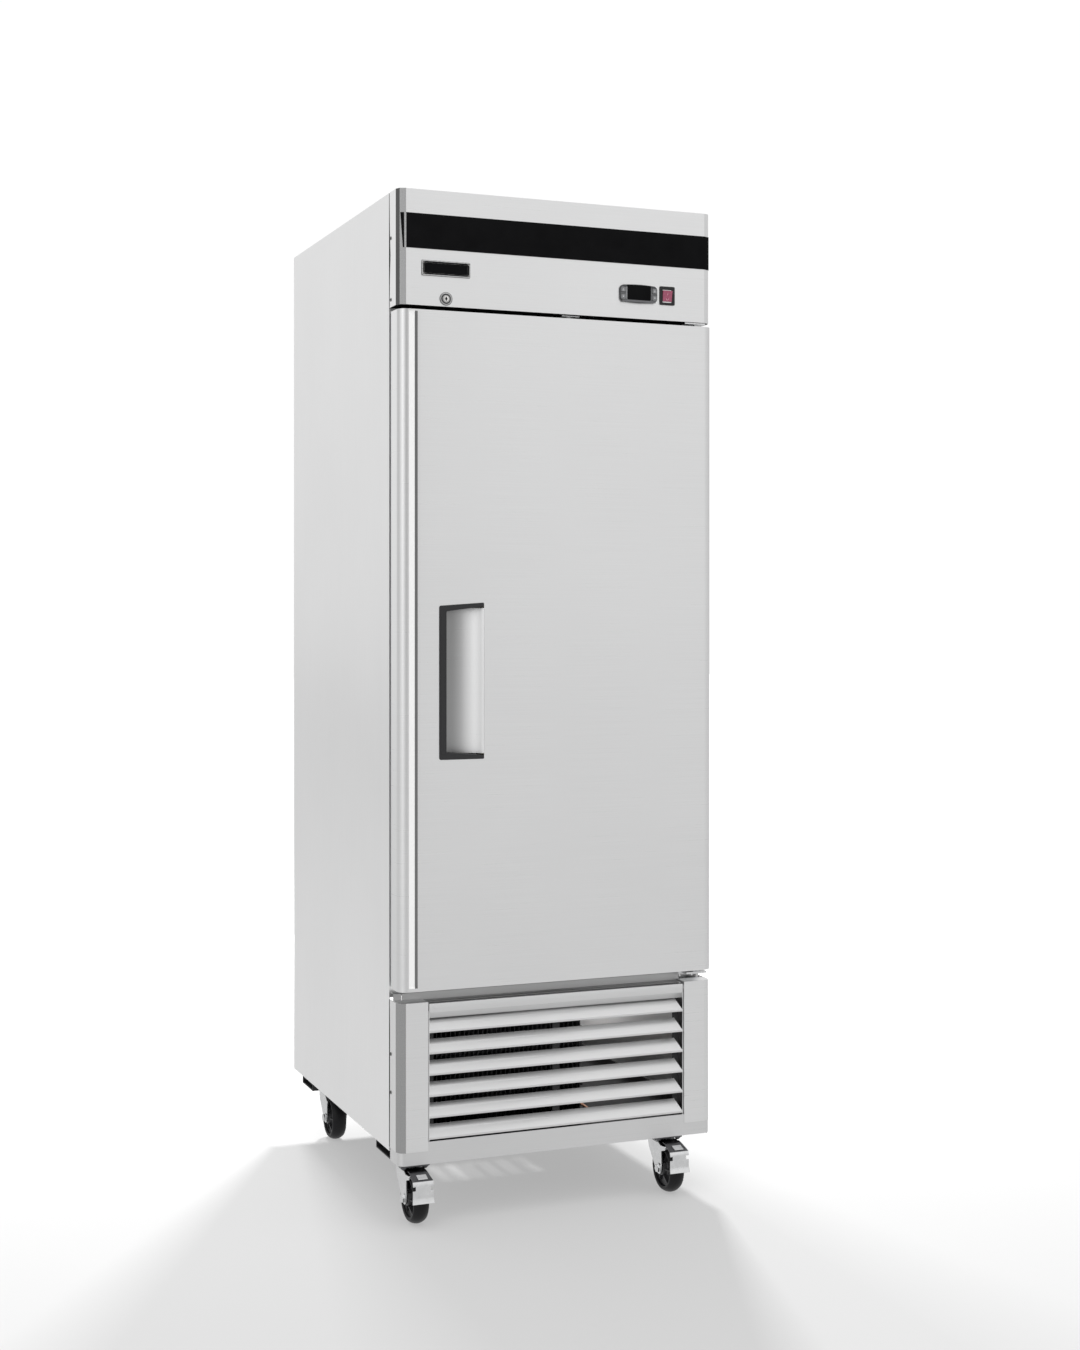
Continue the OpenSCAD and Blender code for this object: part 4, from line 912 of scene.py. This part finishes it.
def caster_top(piece, at):
    """Mounting plate with four bolts, ball races and the king pin."""
    under = PLATE_TOP - 3
    piece.prism(rectangle(at.x - 30, at.y - 44, at.x + 30, at.y + 44, 6), "z", under, PLATE_TOP)
    for x in (-22, 22):
        for y in (-34, 34):
            spot = at + Vector((x, y, 0))
            piece.lathe([(under - 4.2, 5.4), (under - 3.6, 6.5), (under, 6.5)], spot, UP, steps=6)
            piece.rod(spot + Vector((0, 0, under - 6.5)), spot + Vector((0, 0, under)), 3.6, chamfer=0.6)
    piece.lathe([(under, 21), (under - 1.2, 23.5), (under - 2.2, 23.5), (under - 3.2, 20), (under - 3.6, 15)],
                at, UP, steps=48)
    piece.lathe([(98.4, 10.6), (99, 11), (101.2, 11), (101.4, 6.9), (under, 6.9)], at, UP, steps=32)


def caster_tops():
    # the mounting plates are zinc painted dark as shadow
    piece = Piece("caster_mounts", ZINC_SHADOW_PAINT)
    for at in CASTERS.values():
        caster_top(piece, at)
    piece.done("cabinet", ["caster_plates"], bevel=0.3)


def fork(name):
    """Ball race, crown plate with a sloping lip painted dark as shadow, two legs, with pedal lugs where
    braked, and axle bolt.
    """
    at, axle = CASTERS[name], AXLES[name]
    piece = Piece("caster_fork_" + name, ZINC, ZINC_SHADOW_PAINT)
    race = [(104, 21), (105.2, 23.8), (107.6, 24), (108.6, 22.6), (109.2, 15), (109.2, 7.3), (103.6, 7.3),
            (103.6, 21)]
    piece.lathe(race, at, UP, closed=True, steps=48)
    crown = [(-21.5, -30), (-21.5, 4), (-9, 19), (9, 19), (21.5, 4), (21.5, -30)]
    crown = fillet([(at.x + x, at.y + y) for x, y in crown], [2, 6, 6, 6, 6, 2], closed=True, steps=4)
    piece.prism(crown, "z", 101.6, 103.9)
    piece.sheet([(at.y - 27, 103.6), (at.y - 45, 97.6)], SHEET * 1.8, "x", at.x - 21.5, at.x + 21.5, 1)
    lug = [(-46, 88), (-64, 93.5), (-67, 98), (-66, 101.5), (-50, 99)] if name in BRAKED else [(-46, 90)]
    leg = [(20, 103.4), (14, 83), (-22, 41.5), (-30, 38), (-38, 38), (-45, 43.5), (-47.5, 54)] + lug
    leg.append((-28, 103.4))
    radii = [1, 14, 10, 8, 8, 8, 10] + [3] * (len(lug) + 1)
    leg = fillet([(at.y + y, z) for y, z in leg], radii, closed=True, steps=4)
    for x in (at.x - 21.5, at.x + 19.1):
        piece.prism(leg, "x", x, x + 2.4)
    piece.lathe([(-22.6, 5.9), (22.6, 5.9)], axle, ACROSS, steps=24)
    for side in (-1, 1):
        for profile, steps in (([(21.4, 9.6), (21.8, 10.2), (22.8, 10.2), (23.2, 9.0)], 32),
                               ([(22.9, 8.2), (23.4, 8.7), (27.2, 8.7), (27.8, 8.0)], 6),
                               ([(27, 4.6), (27.9, 4.6), (27.95, 3.6)], 20)):
            piece.lathe(profile, axle, (side, 0, 0), steps=steps)
    piece.done(f"fork_{name}_body", ["fork_" + name], bevel=0.35)


def wheel(name):
    """A rounded tyre on a hub whose web has six ribs on each side."""
    axle = AXLES[name]
    tyre = Piece("caster_tyre_" + name, RUBBER, HUB_BLACK)
    round_radius, half_width, steps = 22, 15.2, 16
    crown = []
    for k in range(steps + 1):
        along = half_width * (2 * k / steps - 1)
        crown.append((along, WHEEL_RADIUS - round_radius + math.sqrt(round_radius ** 2 - along ** 2)))
    wall = [(12.6, 36.6), (14.6, 37.4), (15.8, 40.2), (15.9, 42.4)]
    tyre.lathe([(-x, r) for x, r in wall] + crown + wall[::-1], axle, ACROSS, closed=True, steps=96)
    core = [(12, 36.9), (9.5, 36), (8, 30), (8, 19), (10, 16.5), (17.4, 14.6), (18, 13.6), (18, 6.1)]
    tyre.lathe([(-x, r) for x, r in core] + core[::-1], axle, ACROSS, 1, closed=True, steps=64)
    ribs = 6
    for k in range(ribs):
        t = 2 * math.pi * k / ribs
        way = Vector((0, math.cos(t), math.sin(t)))
        across = Vector((0, -way.z, way.y)) * 1.6
        for side in (-1, 1):
            base = axle + Vector((side * 7.5, 0, 0))
            rings = []
            for reach, height in ((17, 8.2), (35, 3.0)):
                spot, out = base + way * reach, Vector((side * height, 0, 0))
                rings.append(tyre.verts([spot - across, spot + across, spot + across + out,
                                         spot - across + out]))
            tyre.hull(rings, 1)
    tyre.done(f"wheel_{name}_body", ["wheel_" + name], sharp=35)


def pedal(name):
    """The sloping hood, its upper part painted dark as shadow, with notched sides and a flared toe; its tab,
    pivot pin and two ears.
    """
    at = CASTERS[name]
    piece = Piece("caster_pedal_" + name, ZINC, ZINC_SHADOW_PAINT)
    hood = fillet([(-47, 106.8), (-58, 105.6), (-87, 95.5), (-89.4, 90)], [0, 6, 3, 0], steps=4)
    toe = ((-89.4, 86), (-89.4, 78), (-89.4, 66), (-90, 61), (-91.3, 56.5), (-93, 52.6))
    path = hood + [Vector(p) for p in toe]
    rows = []
    for p in path:
        flare = 1.5 * max(0.0, (66 - p.y) / 14) if p.x < -88 else 0.0
        wide = (18.5 if p.x > -68 else 21.0) + flare
        rows.append(piece.verts([(at.x + x, at.y + p.x, p.y) for x in (-wide, -15, -14, 14, 15, wide)]))
    for j in range(len(rows) - 1):
        notched = 78 < (path[j].y + path[j + 1].y) / 2 < 86
        for i in range(5):
            if not (notched and i in (0, 4)):
                quad = [rows[j][i], rows[j][i + 1], rows[j + 1][i + 1], rows[j + 1][i]]
                piece.face(quad, 1 if j < len(hood) - 3 else 0)
    piece.done(f"pedal_{name}_body", ["pedal_" + name], thickness=-2.1, sharp=35, bevel=0.4)
    tab = Piece("caster_pedal_tab_" + name, ZINC)
    rings = []
    for y, z in ((-84, 96.9), (-84.6, 99.0)):
        corners = ((-9, y, z), (11, y, z), (11, y + 14, z + 4.9), (-9, y + 14, z + 4.9))
        rings.append(tab.verts([at + Vector(p) for p in corners]))
    tab.hull(rings)
    pin_y, pin_z, ear_radius = at.y - 62, 98, 3.8
    tab.rod((at.x - 23, pin_y, pin_z), (at.x + 23, pin_y, pin_z), 2.4, chamfer=0.5)
    ear = [(pin_y + ear_radius * math.cos(t), pin_z - ear_radius * math.sin(t))
           for t in (math.pi * k / 12 for k in range(13))]
    ear += [(pin_y - ear_radius, 101.4), (pin_y + ear_radius, 103.4)]
    for x in (at.x - 16, at.x + 16):
        tab.prism(ear, "x", x - 1, x + 1)
    tab.done(f"pedal_{name}_body", bevel=0.4)


# ---------------------------------------------------------------- fans


def fan(node, centre_z, hub, reach, depth):
    """A hub and five twisted blades, curved across and thinner toward the tip."""
    low, high = box_of(node)
    blades, cells = 5, 8
    centre = Vector(((low.x + high.x) / 2, (low.y + high.y) / 2, centre_z))
    length = high.y - low.y
    piece = Piece(node + "_rotor", NYLON)
    profile = [(share * length, radius) for share, radius in (
        (-0.46, hub * 0.9), (-0.4, hub), (0.30, hub), (0.44, hub * 0.86), (0.49, hub * 0.5), (0.49, 5.2),
        (-0.46, 5.2))]
    piece.lathe(profile, centre, FORWARD, closed=True, steps=48)
    for k in range(blades):
        rows = []
        for j in range(cells + 1):
            t = j / cells
            radius = hub * 0.96 + (reach - hub * 0.96) * t
            row = []
            for i in range(cells + 1):
                s = i / cells - 0.5
                sweep = math.radians(s * (58 - 12 * t) + 16 * t) + 2 * math.pi * k / blades
                lift = depth * (s * (1 - 0.25 * t) + 0.18 * (0.25 - s * s))
                row.append(centre + Vector((radius * math.sin(sweep), lift, radius * math.cos(sweep))))
            rows.append(row)
        rims = []
        for thickness in (0, 1.4):
            skin = [piece.verts([p + Vector((0, thickness, 0)) for p in row]) for row in rows]
            for j in range(cells):
                for i in range(cells):
                    piece.face([skin[j][i], skin[j][i + 1], skin[j + 1][i + 1], skin[j + 1][i]])
            rims.append(skin[0] + [row[-1] for row in skin[1:]] + skin[-1][-2::-1]
                        + [row[0] for row in skin[-2:0:-1]])
        piece.loops(rims)
    piece.done(node + "_body", [node], sharp=40)


# ---------------------------------------------------------------- assembly

for make in (header, seam_shade, fixings, fascia, badge, lock, controller, rocker_switch, door, door_core, handle,
             base_front, grille, rails, caster_tops):
    make()
for corner in CASTERS:
    fork(corner)
    wheel(corner)
for corner in BRAKED:
    pedal(corner)
fan("condenser_fan", 264.0, 26, 101, 20)
fan("evaporator_fan", 1885.0, 20, 69, 15)

# the CAD nodes that stay get a finish: material, slot, nodes
for mat, slot_name, nodes in (
        (SIDE_STEEL, "stainless_side", ["outer_wrap"]), (GALVANISED, "galvanised", ["back_panel"]),
        (LINER, "liner_steel", ["inner_liner", "door_liner"]), (FOAM, "foam", ["cabinet_foam"]),
        (FRAME_PLASTIC, "frame_plastic", ["front_frame"]), (ZINC, "lock_chrome", ["switch_body"]),
        (ZINC, "caster_zinc", ["top_hinge", "bottom_hinge"]), (POWDER_BLACK, "base_black", ["base_frame"]),
        (FRAME_PLASTIC, "white_plastic", ["switch_plunger"]), (COPPER, "copper_tube", ["refrigerant_tubes"]),
        (ENAMEL_BLACK, "compressor_black", ["compressor"]), (FIN_BLACK, "fin_aluminium", ["condenser_coil"]),
        (SATIN_BLACK, "shroud_black", ["condenser_shroud"]), (SATIN_BLACK, "pan_black", ["condensate_pan"]),
        (COVER_WHITE, "cover_white", ["evaporator_cover"]), (FIN, "fin_aluminium", ["evaporator_coil"]),
        (NYLON, "gland_black", ["terminal_box"]), (LENS, "lamp_lens", ["led_light"]),
        (GALVANISED, "pilaster_steel", ["pilasters"]), (GASKET, "gasket_grey", ["door_gasket"]),
        (WIRE, "shelf_wire", ["shelf_lower", "shelf_middle", "shelf_upper"]),
        (NYLON, "bush_black", ["hinge_bushes"])):
    for node in nodes:
        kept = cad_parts[node]
        kept.data.materials.clear()
        kept.data.materials.append(mat)
